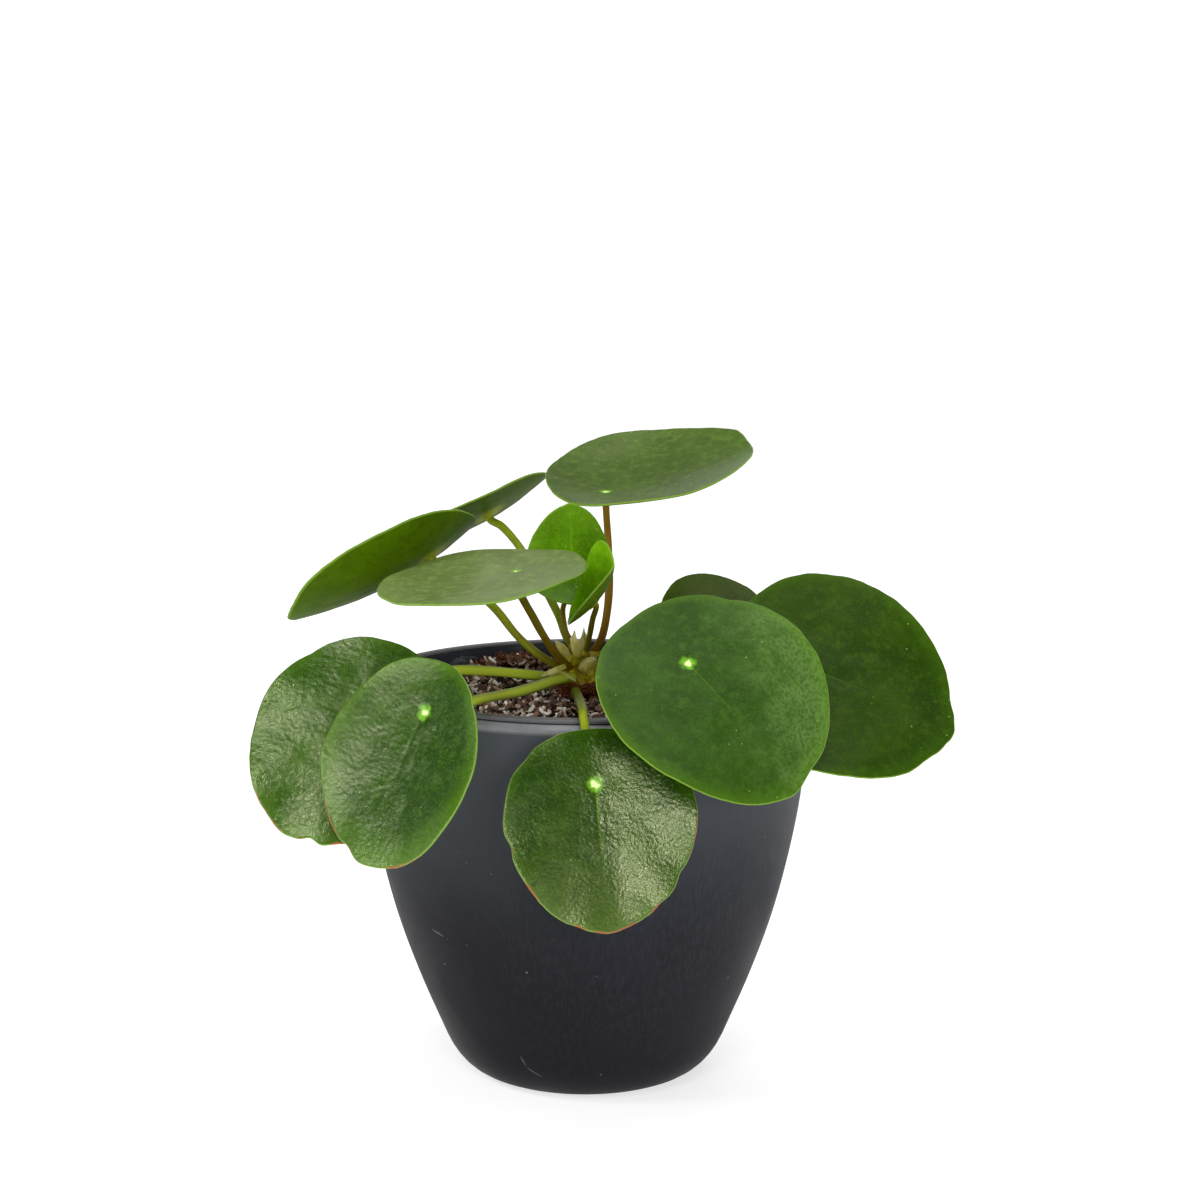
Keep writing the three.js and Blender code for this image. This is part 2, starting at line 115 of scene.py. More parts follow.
# One entry for each leaf, in millimetres. The hub is the point where the stalk meets the blade.
#   face, tip     directions that the upper side and the far end point in
#   back          share of the length behind the hub
#   egg           how much narrower the far end is
#   bend          sag along and across; a negative one is a cup
#   wave          height and count of the margin's waves
#   point         how far the point at the far end stands out
#   nicks         dents in the margin: degrees round from the tip, depth, width in degrees
#   stalk, route  thickness at both ends, and the middle line from the trunk to the blade
# Some also have a fold in degrees, with the width of its crease, or a thickness or an elbow of their own. The
# elbow is the length of the stalk's straight end under the blade.
LEAVES = {
    "top_right": dict(
        hub=(7, 20, 194.5), face=(-0.03, -0.17, 0.98), tip=(0.85, 0.51, 0.12),
        length=71.5, width=70.5, back=0.24, egg=0.08, bend=(-0.28, -0.37), wave=(0.5, 5), point=0.9,
        nicks=[], stalk=(2.8, 2.4),
        route=[(0.5, 1, 136), (2.4, 3, 141.5), (5.6, 5.5, 147), (7.6, 9.5, 156), (8.3, 13.5, 166),
               (8, 17, 176)]),
    "back_left": dict(
        hub=(-34, 42, 184.5), face=(-0.49, 0.26, 0.83), tip=(-0.5, 0.69, -0.52),
        length=61.5, width=61, back=0.35, egg=0.07, bend=(-0.29, -0.29), wave=(0.5, 5), point=0.6,
        nicks=[], stalk=(2.8, 2.6), elbow=2.5,
        route=[(-1.5, 1, 141), (-6.4, 4.5, 148), (-8.6, 8, 153.5), (-12, 13, 159.5), (-18, 22, 168.8),
               (-24, 30, 176.5), (-29, 36, 181)]),
    "upper_left": dict(
        hub=(-52, 6, 175), face=(-0.59, 0.25, 0.77), tip=(-0.81, -0.25, -0.54),
        length=70, width=71, back=0.28, egg=0, bend=(-0.29, -0.5), wave=(0.5, 4), point=0.6,
        nicks=[], stalk=(2.8, 2.6),
        route=[(-1, 0, 136), (-5.5, -1, 137.6), (-9.7, -2, 139.3), (-15, -3, 142.5), (-22.4, -3, 149),
               (-30, -1, 158), (-39, 1.5, 165.5)]),
    "upper_front": dict(
        hub=(-22, -42, 176.5), face=(-0.12, -0.11, 0.99), tip=(-0.97, -0.2, -0.14),
        length=66.5, width=65.5, back=0.34, egg=-0.05, bend=(-0.02, -0.04), wave=(0.5, 5), point=0.8,
        nicks=[], stalk=(2.8, 2.4),
        route=[(0, -0.5, 133.5), (-5, -4, 138.3), (-9.6, -9, 144), (-13.8, -17, 152), (-17, -25, 159.5),
               (-19.3, -32, 165)]),
    "young_upright": dict(
        hub=(-2.5, -10, 167), face=(0.32, -0.7, 0.64), tip=(-0.22, 0.61, 0.76),
        length=34, width=32.5, back=0.24, egg=0.1, bend=(-0.5, 0.24), wave=(0.3, 4), point=0.6,
        nicks=[(238, 3.6, 42)], stalk=(1.9, 1.7), elbow=3.5, thickness=0.9,
        route=[(-1, 0, 141), (-5.4, -1, 147.5), (-7, -0.5, 153), (-7.2, -1.5, 159)]),
    "young_folded": dict(
        hub=(2.4, -27, 164.3), face=(-0.81, -0.23, 0.54), tip=(0.56, -0.59, 0.58),
        length=30, width=29.5, back=0.37, egg=-0.32, bend=(-0.39, -0.39), fold=18, wave=(0.2, 4), point=0.4,
        nicks=[], stalk=(2, 1.8), elbow=1.4, thickness=0.9,
        route=[(0, -0.5, 139), (0.5, -4, 144.4), (1.4, -10, 150), (2.5, -19, 157.5)]),
    "right_front": dict(
        hub=(31.5, -78, 153.5), face=(0.17, -0.67, 0.72), tip=(0.64, -0.48, -0.6),
        length=74.5, width=73.5, back=0.32, egg=0.06, bend=(0.21, -0.15), wave=(0.7, 5), point=0.9,
        nicks=[(17, 0.8, 9), (133, 0.8, 6), (220, 0.3, 8)], stalk=(3.4, 2.8),
        route=[(0, -0.5, 137), (6, -9, 139.5), (12, -25, 142), (19, -43, 145), (26, -61, 147.5)]),
    "right_back": dict(
        hub=(65, -51, 149), face=(0.08, -0.69, 0.72), tip=(0.93, -0.2, -0.3),
        length=78, width=77, back=0.3, egg=0.12, bend=(0.21, -0.14), wave=(0.7, 5), point=1.1,
        nicks=[(22, 0.7, 8), (335, 0.9, 8)], stalk=(3.4, 2.8),
        route=[(0.5, 0, 138), (8.5, -4.5, 142), (20, -14, 144), (36, -27, 146), (52, -38, 146)]),
    "small_right": dict(
        hub=(40.5, 12, 148), face=(0.21, -0.7, 0.68), tip=(0.6, 0.64, 0.48),
        length=40, width=39.5, back=0.3, egg=0.04, bend=(0.14, -0.03), wave=(0.3, 4), point=0.4,
        nicks=[], stalk=(2.3, 2), thickness=1,
        route=[(0.5, 0.5, 139), (8, 2.5, 143.5), (18, 7, 145.5), (29, 12.5, 144)]),
    "left_back": dict(
        hub=(-69, -57, 138), face=(-0.27, -0.8, 0.54), tip=(-0.4, -0.42, -0.82),
        length=69.5, width=68, back=0.3, egg=0.06, bend=(0.04, 0.06), wave=(0.7, 6), point=0,
        nicks=[(5, 1.2, 5), (13, -0.6, 5), (346, -0.9, 8), (228, 0.7, 6)], stalk=(3.5, 3),
        route=[(-1, -1, 134), (-6, -1.5, 134.8), (-12, -4, 135.6), (-17.3, -9, 137), (-24, -16, 139),
               (-33, -26, 141.6), (-42, -36, 143.6), (-52, -44, 143)]),
    "left_front": dict(
        hub=(-48.5, -89, 140.5), face=(-0.63, -0.68, 0.38), tip=(-0.41, -0.12, -0.9),
        length=65.5, width=64, back=0.25, egg=-0.03, bend=(0.02, -0.2), wave=(0.6, 5), point=0.8,
        nicks=[(142, 0.5, 6), (348, 0.8, 7)], stalk=(3.8, 3),
        route=[(-0.5, -1.5, 134.5), (-5.5, -7, 135.7), (-10.3, -14, 136), (-14.8, -22, 136),
               (-21.3, -35, 136.5), (-28, -49, 137.8), (-34.5, -64, 139.3), (-40, -76, 139.5)]),
    "front_hanging": dict(
        hub=(3, -88, 118), face=(0.25, -0.92, 0.3), tip=(0.1, -0.28, -0.95),
        length=62.5, width=61, back=0.28, egg=0.12, bend=(0.07, -0.03), fold=7.5, crease=8, wave=(0.7, 7),
        point=0.4,
        nicks=[(184, 0.5, 8), (222, 0.7, 7), (276, 1, 5), (338, 0.5, 7), (59, 0.8, 5), (38, 0.6, 6)],
        stalk=(3.6, 2.6), elbow=3.5,
        route=[(-0.8, -1, 131.2), (-3, -10, 131.6), (-2.3, -30, 133.8), (-1.5, -52, 136.2),
               (-0.8, -69, 137.8), (-0.4, -77.5, 136.3), (0.6, -80.6, 131), (2.6, -81.4, 122.5)]),
}
BLADE_THICKNESS = 1.2
EDGE = 0.84  # where the rounding of a blade's edge begins, from 0 in the middle to 1 at the margin
ELBOW = 5
STALK_STEPS = 90

# Trunk: middle line with its radii, steps along it, length of each stalk that is grown into its skin, and
# size of the skin's cells. Each knob, left by a fallen leaf or a bud, is a place and a radius.
TRUNK = {
    "line": [(0, 0, 120), (0, 0, 127), (0.3, -0.4, 131), (-0.4, -0.5, 135), (-0.6, -0.4, 139),
             (-0.8, -0.8, 144), (-1, -1.2, 148)],
    "radii": [4.4, 4.6, 4.9, 4.4, 4.3, 3.2, 1.2],
    "steps": 50, "collar": 7.5, "cell": 0.4,
    "knobs": [((2.6, -4.6, 137.5), 2.6), ((-3.4, -3.2, 140.8), 2.2), ((0.4, -3.6, 143.4), 1.6),
              ((-1.6, -4.4, 134.4), 2.2), ((3.2, 1.5, 141), 2.2), ((-3.8, -4.6, 136.4), 2),
              ((3.4, -4.4, 134.8), 2.6), ((-2.4, -1.4, 145.6), 1.8), ((1.6, -6, 139.4), 1.4),
              ((-6.6, -6.4, 132.4), 1.8), ((-4.2, -7.2, 132.6), 2.1), ((-1.4, -7.4, 132.8), 2.2),
              ((1.6, -6.6, 132.6), 2.4), ((4.2, -3.6, 131.8), 2.4), ((-5.2, -2.6, 131.6), 2.2)],
}

# Dry scales round the growing tip: foot, point, facing, width, curl and count of tips. The two bracts are
# smaller dry bits that stand for none of the solids.
SCALES = {
    "scale_1": dict(
        foot=(-1.9, -4.4, 142), point=(-1.9, -4.4, 152.2), face=(0.1, -1, 0.1), width=5.8, curl=1, tips=2),
    "scale_2": dict(
        foot=(-5.2, -1.6, 141), point=(-9.8, -1.4, 147.4), face=(-0.2, -1, 0.2), width=3.4, curl=0.8),
    "scale_3": dict(
        foot=(-6.8, -8.6, 135.2), point=(-12.2, -8.8, 138.6), face=(-0.3, -0.8, 0.6), width=3.6, curl=0.7),
    "scale_4": dict(
        foot=(-0.9, -6.8, 137.4), point=(3.6, -8, 142.8), face=(0.3, -0.9, 0.3), width=5.4, curl=1),
    "bract_1": dict(
        foot=(-6.4, -8, 140), point=(-14.6, -11, 137), face=(-0.2, -0.9, 0.5), width=2.2, curl=0.3),
    "bract_2": dict(
        foot=(-9, -10.4, 138.6), point=(-3, -10.2, 135.2), face=(-0.1, -0.9, 0.4), width=1.3, curl=0.2),
}
SCALE_THICKNESS = 0.22


# ---- settings ----

def tint(name, description, color):
    """A colour that a user may change."""
    return bpy.props.FloatVectorProperty(
        name=name, description=description, subtype="COLOR", size=3, min=0, max=1, default=color)


def share(name, description, value, high=1.0):
    """A plain strength or share."""
    return bpy.props.FloatProperty(
        name=name, description=description, subtype="FACTOR", min=0, max=high, default=value)


def length(name, description, value):
    """A length in metres."""
    return bpy.props.FloatProperty(
        name=name, description=description, subtype="DISTANCE", unit="LENGTH", min=0, default=value)


def count(name, description, value, low=3):
    """A whole number."""
    return bpy.props.IntProperty(name=name, description=description, min=low, default=value)


class PotSettings(bpy.types.PropertyGroup):
    """The plain dark pot."""

    height: length("Height", "Height of the pot over its lip", round(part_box("pot")[1].z, 4))
    sides: count("Sides", "Faces round the pot", 160)
    wall: tint("Wall", "Colour of the outer wall", (0.0114, 0.0116, 0.0156))
    # painted light: this colour makes the upper wall lighter towards the bevel
    lit: tint("Lit", "Colour of the worn wall under the bevel", (0.07, 0.077, 0.088))
    # painted light: the lip is a lighter grey than the wall, and the bevel is lighter still as a painted
    # highlight
    lip: tint("Lip", "Colour of the flat lip", (0.11, 0.11, 0.114))
    bevel: tint("Bevel", "Colour of the worn bevel under the lip", (0.235, 0.24, 0.255))
    inside: tint("Inside", "Colour of the inner wall", (0.015, 0.017, 0.027))
    roughness: share("Roughness", "Roughness of the wall", 0.52)
    grain: share("Grain", "Strength of the upright grain", 0.35)


class MixSettings(bpy.types.PropertyGroup):
    """The potting mix."""

    bark_chips: count("Bark chips", "Dark chips on the surface", 1800, 1)
    flakes: count("Flakes", "Brown curled flakes on the surface", 1500, 1)
    pale_chips: count("Pale chips", "Pale slivers, and as many pale grains, on the surface", 620, 1)
    fibres: count("Fibres", "Brown fibres in the clump at the back", 420, 1)
    bark: tint("Bark", "Colour of the dark chips", (0.02, 0.0105, 0.007))
    pale: tint("Pale grains", "Colour of the pale grains", (1, 0.95, 0.86))
    fibre: tint("Fibre", "Colour of the fibre clump", (0.2, 0.055, 0.016))


class BladeSettings(bpy.types.PropertyGroup):
    """The leaf blades."""

    sides: count("Sides", "Faces round a blade", 256)
    rings: count("Rings", "Rings of faces on both sides of a blade", 72)
    hub: tint("Hub", "Colour of the dot over the stalk", (0.75, 0.85, 0.38))
    halo: tint("Halo", "Colour round the dot", (0.18, 0.48, 0.02))
    margin: tint("Margin", "Colour of the thin margin", (0.17, 0.29, 0.035))
    rust: tint("Rust", "Colour of dry places in the margin", (0.28, 0.08, 0.02))


class StalkSettings(bpy.types.PropertyGroup):
    """The leaf stalks and the trunk."""

    sides: count("Sides", "Faces round a stalk", 24)
    # painted light: the long low stalks' own yellow-green, made lighter where they lie in shade
    brightened: tint("Brightened", "Colour of the long low stalks", (0.48, 0.58, 0.045))
    light: tint("Light", "Colour of the younger stalks", (0.25, 0.31, 0.01))
    olive: tint("Olive", "Colour of the older stalks", (0.19, 0.155, 0.006))
    brown: tint("Brown", "Colour of the reddish stalk", (0.22, 0.12, 0.004))


class StageSettings(bpy.types.PropertyGroup):
    """Floor, lights and camera."""

    floor: tint("Floor", "Colour of the floor", (0.55, 0.55, 0.55))
    sky: share("Sky", "Strength of the even light", 0.2, 5)
    high: share("High", "Power of the high light at the left, in watts", 7.5, 1000)
    low: share("Low", "Power of the low light at the left, in watts", 6.5, 1000)
    front: share("Front", "Power of the small light in front, in watts", 8, 1000)
    fill: share("Fill", "Power of the light over the camera, in watts", 6, 1000)
    back: share("Back", "Power of the light behind the plant, in watts", 3.5, 1000)
    top: share("Top", "Power of the light above, in watts", 22, 1000)


SETTINGS = {"pot": PotSettings, "mix": MixSettings, "blades": BladeSettings, "stalks": StalkSettings,
            "stage": StageSettings}


def settings(group):
    """The settings of one group, as they stand in the scene."""
    return getattr(bpy.context.scene, "pilea_" + group)


# ---- finishes ----

class Finish:
    """A material that is mixed step by step. Most methods add a node and give its result."""

    def __init__(self, name):
        self.material = bpy.data.materials.new(name)
        self.material.use_nodes = True
        self.tree = self.material.node_tree
        self.shader = self.tree.nodes["Principled BSDF"]
        self.color = None

    def put(self, socket, value):
        """Sets a socket, or joins it to another node's result."""
        if isinstance(value, bpy.types.NodeSocket):
            self.tree.links.new(value, socket)
        elif socket.type == "RGBA":
            socket.default_value = (*value[:3], 1)
        else:
            socket.default_value = value

    def add(self, kind, inputs, output=0, **choices):
        node = self.tree.nodes.new("ShaderNode" + kind)
        for key, value in choices.items():
            setattr(node, key, value)
        for key, value in inputs.items():
            self.put(node.inputs[key], value)
        return node.outputs[output]

    def place(self, scale=(1, 1, 1)):
        """The place on the piece in metres, stretched by scale."""
        at = self.add("TexCoord", {}, "Object")
        return self.add("Mapping", {"Vector": at, "Scale": scale})

    def attribute(self, name, output="Vector"):
        return self.add("Attribute", {}, output, attribute_name=name)

    def part(self, vector, axis):
        return self.add("SeparateXYZ", {0: vector}, axis)

    def noise(self, at, scale, detail=2.0, rough=0.5, warp=0.0):
        return self.add("TexNoise", {"Vector": at, "Scale": scale, "Detail": detail, "Roughness": rough,
                                     "Distortion": warp})

    def cells(self, at, scale):
        """The way from the nearest of many scattered points."""
        return self.add("TexVoronoi", {"Vector": at, "Scale": scale})

    def calc(self, operation, a, b=0.0):
        return self.add("Math", {0: a, 1: b}, operation=operation)

    def times(self, a, b):
        return self.calc("MULTIPLY", a, b)

    def plus(self, a, b):
        return self.calc("ADD", a, b)

    def far(self, a, b):
        """The way from the middle to the point (a, b)."""
        return self.calc("SQRT", self.plus(self.calc("POWER", a, 2.0), self.calc("POWER", b, 2.0)))

    def fade(self, value, low, high, start=0.0, end=1.0):
        """Runs smoothly from start to end while the value runs from low to high."""
        return self.add("MapRange", {"Value": value, "From Min": low, "From Max": high, "To Min": start,
                                     "To Max": end}, interpolation_type="SMOOTHSTEP")

    def blend(self, part, a, b):
        return self.add("Mix", {0: part, 6: a, 7: b}, 2, data_type="RGBA")

    def dots(self, at, scale, size, where, limits):
        """Round dots, only in places where a noise is high."""
        return self.times(self.fade(self.cells(at, scale), *size), self.fade(where, *limits))

    def base(self, part, a, b):
        """Starts the colour as a mix of two."""
        self.color = self.blend(part, a, b)

    def coat(self, part, color):
        """Lays a colour over the one so far, as strongly as part says."""
        self.color = self.blend(part, self.color, color)

    def bump(self, height, strength, depth, under=None):
        inputs = {"Height": height, "Strength": strength, "Distance": depth}
        if under is not None:
            inputs["Normal"] = under
        return self.add("Bump", inputs)

    def done(self, roughness, normal=None, **levels):
        """Joins the results to the shader. The levels are plain numbers on its own sockets."""
        self.put(self.shader.inputs["Base Color"], self.color)
        self.put(self.shader.inputs["Roughness"], roughness)
        if normal is not None:
            self.put(self.shader.inputs["Normal"], normal)
        for key, value in levels.items():
            self.shader.inputs[key.replace("_", " ")].default_value = value
        return self.material


def shade(color, factor):
    """A colour made darker or lighter by a factor."""
    return [c * factor for c in color]


# Old marks on the wall: middle, turn in degrees seen from the front, half length and width, colour.
SCRATCHES = [
    ((-0.0478, 0.0585), -22, (0.0026, 0.00032), (0.075, 0.075, 0.08)),
    ((-0.046, 0.0545), -60, (0.0019, 0.0008), (0.008, 0.008, 0.01)),
    ((-0.0415, 0.0535), -70, (0.0011, 0.0006), (0.01, 0.01, 0.012)),
    ((-0.0202, 0.0152), -62, (0.0024, 0.0003), (0.052, 0.054, 0.06)),
    ((-0.0166, 0.0112), -33, (0.0036, 0.0003), (0.052, 0.054, 0.06)),
]


def scratch_mask(mix, place, turn, half):
    """A narrow mark on the front of the wall, 1 in its middle and 0 round it."""
    at = mix.add("TexCoord", {}, "Object")
    x = mix.calc("SUBTRACT", mix.part(at, 0), place[0])
    z = mix.calc("SUBTRACT", mix.part(at, 2), place[1])
    bent = mix.times(mix.calc("SUBTRACT", mix.noise(at, 220, 2), 0.5), 0.0012)
    cos, sin = math.cos(math.radians(turn)), math.sin(math.radians(turn))
    along = mix.plus(mix.times(x, cos), mix.times(z, sin))
    across = mix.plus(mix.plus(mix.times(x, -sin), mix.times(z, cos)), bent)
    reach = mix.plus(*(mix.calc("POWER", mix.calc("ABSOLUTE", mix.calc("DIVIDE", way, size)), 2.0)
                       for way, size in zip((along, across), half)))
    return mix.times(mix.fade(reach, 1.0, 0.3), mix.fade(mix.part(at, 1), 0.0, -0.01))


def wall_finish():
    """Smooth dark wall with a faint upright grain, cloudy patches, pale specks and old marks, with painted
    shade towards the bottom and the left and painted light on the upper wall.
    """
    pot = settings("pot")
    mix = Finish("pot_wall")
    at = mix.place()
    grain = mix.noise(mix.place((1, 1, 0.035)), 900, 4, 0.65)
    weave = mix.noise(mix.place((0.05, 0.05, 1)), 700, 2, 0.5)
    cloud = mix.noise(at, 28, 3, 0.55, 0.4)
    mix.base(mix.fade(cloud, 0.35, 0.68), shade(pot.wall, 0.86), shade(pot.wall, 1.16))
    mix.coat(mix.fade(grain, 0.4, 0.7, 0, 0.6 * pot.grain + 0.35), shade(pot.wall, 2.1))
    # painted shade: the wall grows darker towards the bottom
    mix.coat(mix.fade(mix.part(at, 2), 0.065, 0, 0, 0.6), shade(pot.wall, 0.3))
    # painted shade: the wall grows darker towards its left side
    mix.coat(mix.fade(mix.part(at, 0), 0.03, -0.06, 0, 0.75), shade(pot.wall, 0.3))
    # painted light: the upper wall grows lighter towards the bevel
    high = mix.fade(mix.part(at, 2), 0.03, 0.135)
    mix.coat(mix.times(high, high), pot.lit)
    mix.coat(mix.dots(at, 230, (0.11, 0.05), mix.noise(at, 61, 0), (0.6, 0.64)), (0.1, 0.1, 0.1))
    pits = mix.dots(mix.place((1, 1, 0.6)), 170, (0.08, 0.03), mix.noise(at, 47, 0), (0.66, 0.7))
    mix.coat(pits, (0.006, 0.006, 0.008))
    for place, turn, half, color in SCRATCHES:
        mix.coat(scratch_mask(mix, place, turn, half), color)
    rough = mix.fade(cloud, 0.3, 0.7, pot.roughness - 0.05, pot.roughness + 0.08)
    height = mix.plus(grain, mix.times(weave, 0.4))
    return mix.done(rough, mix.bump(height, pot.grain, 0.00012), Specular_IOR_Level=0.09)


def lip_finish():
    """Flat grey lip, its grey painted light, with a bevel under it that is lighter still as a painted
    highlight, and painted shade in a crease under the lip.
    """
    pot = settings("pot")
    mix = Finish("pot_lip")
    cloud = mix.noise(mix.place(), 60, 3, 0.6, 0.4)
    grain = mix.noise(mix.place((1, 1, 0.1)), 800, 3, 0.6)
    height = mix.times(mix.part(mix.place(), 2), 1000.0)
    # painted highlight on the bevel band under the lip, and painted light in the lip's grey
    mix.base(mix.fade(height, 133.2, 133.4), pot.bevel, pot.lip)
    mix.coat(mix.fade(height, 131.2, 130.2), pot.lip)
    # painted shade: a dark line in the crease under the lip
    crease = mix.fade(mix.calc("ABSOLUTE", mix.calc("SUBTRACT", height, 133.55)), 0.35, 0.1)
    mix.coat(mix.times(crease, 0.75), pot.inside)
    mix.coat(mix.fade(cloud, 0.35, 0.7, 0, 0.3), pot.inside)
    return mix.done(0.5, mix.bump(grain, 0.25, 0.0001), Specular_IOR_Level=0.45)


def inside_finish():
    """Darker inner wall with pale level scuffs."""
    pot = settings("pot")
    mix = Finish("pot_inside")
    scuff = mix.noise(mix.place((1, 1, 3.2)), 85, 5, 0.68, 0.6)
    band = mix.noise(mix.place((1, 1, 1.2)), 30, 2)
    marks = mix.times(mix.fade(scuff, 0.53, 0.68), mix.fade(band, 0.42, 0.6))
    mix.base(marks, pot.inside, (0.13, 0.135, 0.15))
    return mix.done(0.6, mix.bump(scuff, 0.35, 0.0004), Specular_IOR_Level=0.4)


def mix_finish(name, dark, light, roughness=0.9):
    """Colour of loose bits: each bit has its own tone between dark and light."""
    mix = Finish(name)
    fleck = mix.noise(mix.place(), 900, 3, 0.6)
    mix.base(mix.attribute("tone", "Fac"), dark, light)
    mix.coat(mix.fade(fleck, 0.5, 0.75, 0, 0.4), shade(dark, 0.4))
    return mix.done(roughness, mix.bump(fleck, 0.6, 0.0004), Specular_IOR_Level=0.25)


def upper_finish(name, look):
    """Upper side of a blade: green with a bright hub, faint veins, pale dots, a thin light margin, and on
    some blades a paler place of painted sheen.

    The leaf attribute holds millimetres: the place along and across the blade, and the way to the margin.
    """
    blades = settings("blades")
    mix = Finish(name)
    at = mix.place()
    leaf = mix.attribute("leaf")
    along, across, rim = (mix.part(leaf, axis) for axis in range(3))
    mottle = mix.noise(at, 330, 3, 0.6)
    mix.base(mix.fade(mix.noise(at, 45, 3, 0.55, 0.5), 0.34, 0.68), look["deep"], look["green"])
    mix.coat(mix.fade(mottle, 0.45, 0.72, 0, look["mottle"]), shade(look["green"], 1.5))
    if "sheen_patch" in look:
        # painted sheen: a paler place on the blade, broken up by the fine wrinkles
        patch, tilt, side = look["sheen_patch"]
        where = mix.plus(mix.times(along, tilt), mix.times(across, side))
        ragged = mix.plus(where, mix.fade(mix.noise(at, 130, 4, 0.6), 0.3, 0.7, -6, 6))
        grains = mix.fade(mix.noise(leaf, 0.8, 1), 0.36, 0.6, 0.45, 1)
        mix.coat(mix.times(mix.fade(ragged, 6, 40, 0, 0.8), grains), patch)
    mix.coat(mix.fade(rim, look["glow"], 0, 0, look["edge"]), look["light"])
    vein = mix.times(mix.fade(mix.calc("ABSOLUTE", across), 0.55, 0.1),
                     mix.times(mix.fade(along, 0.5, 2), mix.fade(along, 30, 6)))
    mix.coat(mix.times(vein, look["vein"]), look["light"])
    dots = mix.dots(at, 300, (0.11, 0.05), mix.noise(at, 90, 1), (0.56, 0.62))
    mix.coat(mix.times(dots, 0.6), (0.25, 0.4, 0.1))
    mix.coat(mix.fade(mix.cells(at, 1100), 0.34, 0.15, 0, look["specks"]), look["light"])
    if "spots" in look:
        spots = mix.dots(at, 150, (0.17, 0.1), mix.noise(at, 40, 1), (0.55, 0.6))
        mix.coat(mix.times(spots, look["spots"]), (0.015, 0.03, 0.006))
    wobble = mix.plus(mix.far(along, across), mix.fade(mix.noise(at, 500, 2), 0.3, 0.7, -0.5, 0.5))
    dot = look["hub"]
    mix.coat(mix.fade(wobble, 3.2 * dot, 1.2 * dot, 0, 0.8), blades.halo)
    mix.coat(mix.fade(wobble, 1.5 * dot, 0.8 * dot), blades.hub)
    mix.coat(mix.fade(rim, 0.34, 0.1, 0, 0.8), blades.margin)
    if "rust" in look:
        dry = mix.fade(mix.noise(at, 160, 3), 0.48, 0.6)
        toward = mix.fade(along, look["rust"], look["rust"] + 12)
        mix.coat(mix.times(mix.times(dry, toward), mix.fade(rim, 0.6, 0.2)), blades.rust)
    flat = mix.add("Mapping", {"Vector": leaf, "Scale": (1, look["stretch"], 0)})
    swell = mix.noise(flat, 0.16, 2, 0.5, 0.3)
    crease = mix.noise(flat, look["grain"], 0)
    wrinkle = mix.plus(mix.times(crease, 0.7), mix.times(mix.noise(leaf, 2.1, 1, 0.5), 0.5))
    normal = mix.bump(swell, look["swell"], 0.0012)
    normal = mix.bump(wrinkle, look["crinkle"], 0.0005, normal)
    rough = mix.fade(mottle, 0.3, 0.7, look["rough"] - 0.04, look["rough"] + 0.05)
    return mix.done(rough, normal, Specular_IOR_Level=look["gloss"], Specular_Tint=(0.97, 1, 0.62, 1))


def lower_finish(name, look):
    """Under side of a blade: duller and more yellow, with raised veins and a light place at the stalk."""
    mix = Finish(name)
    at = mix.place()
    leaf = mix.attribute("leaf")
    along, across, rim = (mix.part(leaf, axis) for axis in range(3))
    cloud = mix.noise(at, 60, 3, 0.55, 0.4)
    mottle = mix.noise(at, 420, 4, 0.65)
    mix.base(mix.fade(cloud, 0.34, 0.68), look["under"], shade(look["under"], 1.3))
    mix.coat(mix.fade(mottle, 0.48, 0.72, 0, 0.5), shade(look["under"], 0.55))
    radius = mix.far(along, across)
    turn = mix.times(mix.calc("ARCTAN2", across, along), 4.5)
    rays = mix.fade(mix.calc("ABSOLUTE", mix.calc("SINE", turn)), 0.14, 0.0)
    mix.coat(mix.times(rays, mix.fade(radius, 26, 4, 0, 0.35)), look["light"])
    mix.coat(mix.fade(radius, 9, 2.5, 0, 0.9), (0.3, 0.36, 0.03))
    mix.coat(mix.fade(rim, 0.8, 0.2, 0, 0.8), settings("blades").margin)
    fine = mix.noise(at, 800, 3, 0.55)
    return mix.done(0.5, mix.bump(fine, 0.2, 0.0003), Specular_IOR_Level=0.02)


def stalk_finish(name, foot, top):
    """Smooth stalk with lengthwise streaks, from one colour at the trunk to another at the blade, with
    painted shade towards the rims that turn away from the camera.
    """
    mix = Finish(name)
    at = mix.place()
    line = mix.attribute("UVMap")
    cloud = mix.noise(at, 150, 3, 0.6)
    run = mix.plus(mix.part(line, 0), mix.fade(cloud, 0.3, 0.7, -0.18, 0.18))
    mix.base(mix.fade(run, 0.1, 0.8), foot, top)
    streak = mix.noise(mix.add("Mapping", {"Vector": line, "Scale": (0.5, 9, 1)}), 5, 3, 0.6)
    mix.coat(mix.fade(streak, 0.45, 0.75, 0, 0.4), shade(top, 1.5))
    mix.coat(mix.times(mix.dots(at, 700, (0.15, 0.08), cloud, (0.5, 0.58)), 0.5), (0.4, 0.42, 0.14))
    # painted shade: the colour darkens towards the rims that turn away from the camera
    side = mix.add("LayerWeight", {"Blend": 0.5}, "Facing")
    mix.coat(mix.fade(side, 0.4, 0.9, 0, 0.8), shade(top, 0.3))
    return mix.done(0.4, mix.bump(streak, 0.15, 0.0003), Specular_IOR_Level=0.1,
                    Subsurface_Weight=0.15, Subsurface_Radius=(1.2, 1.4, 0.3), Subsurface_Scale=0.001)


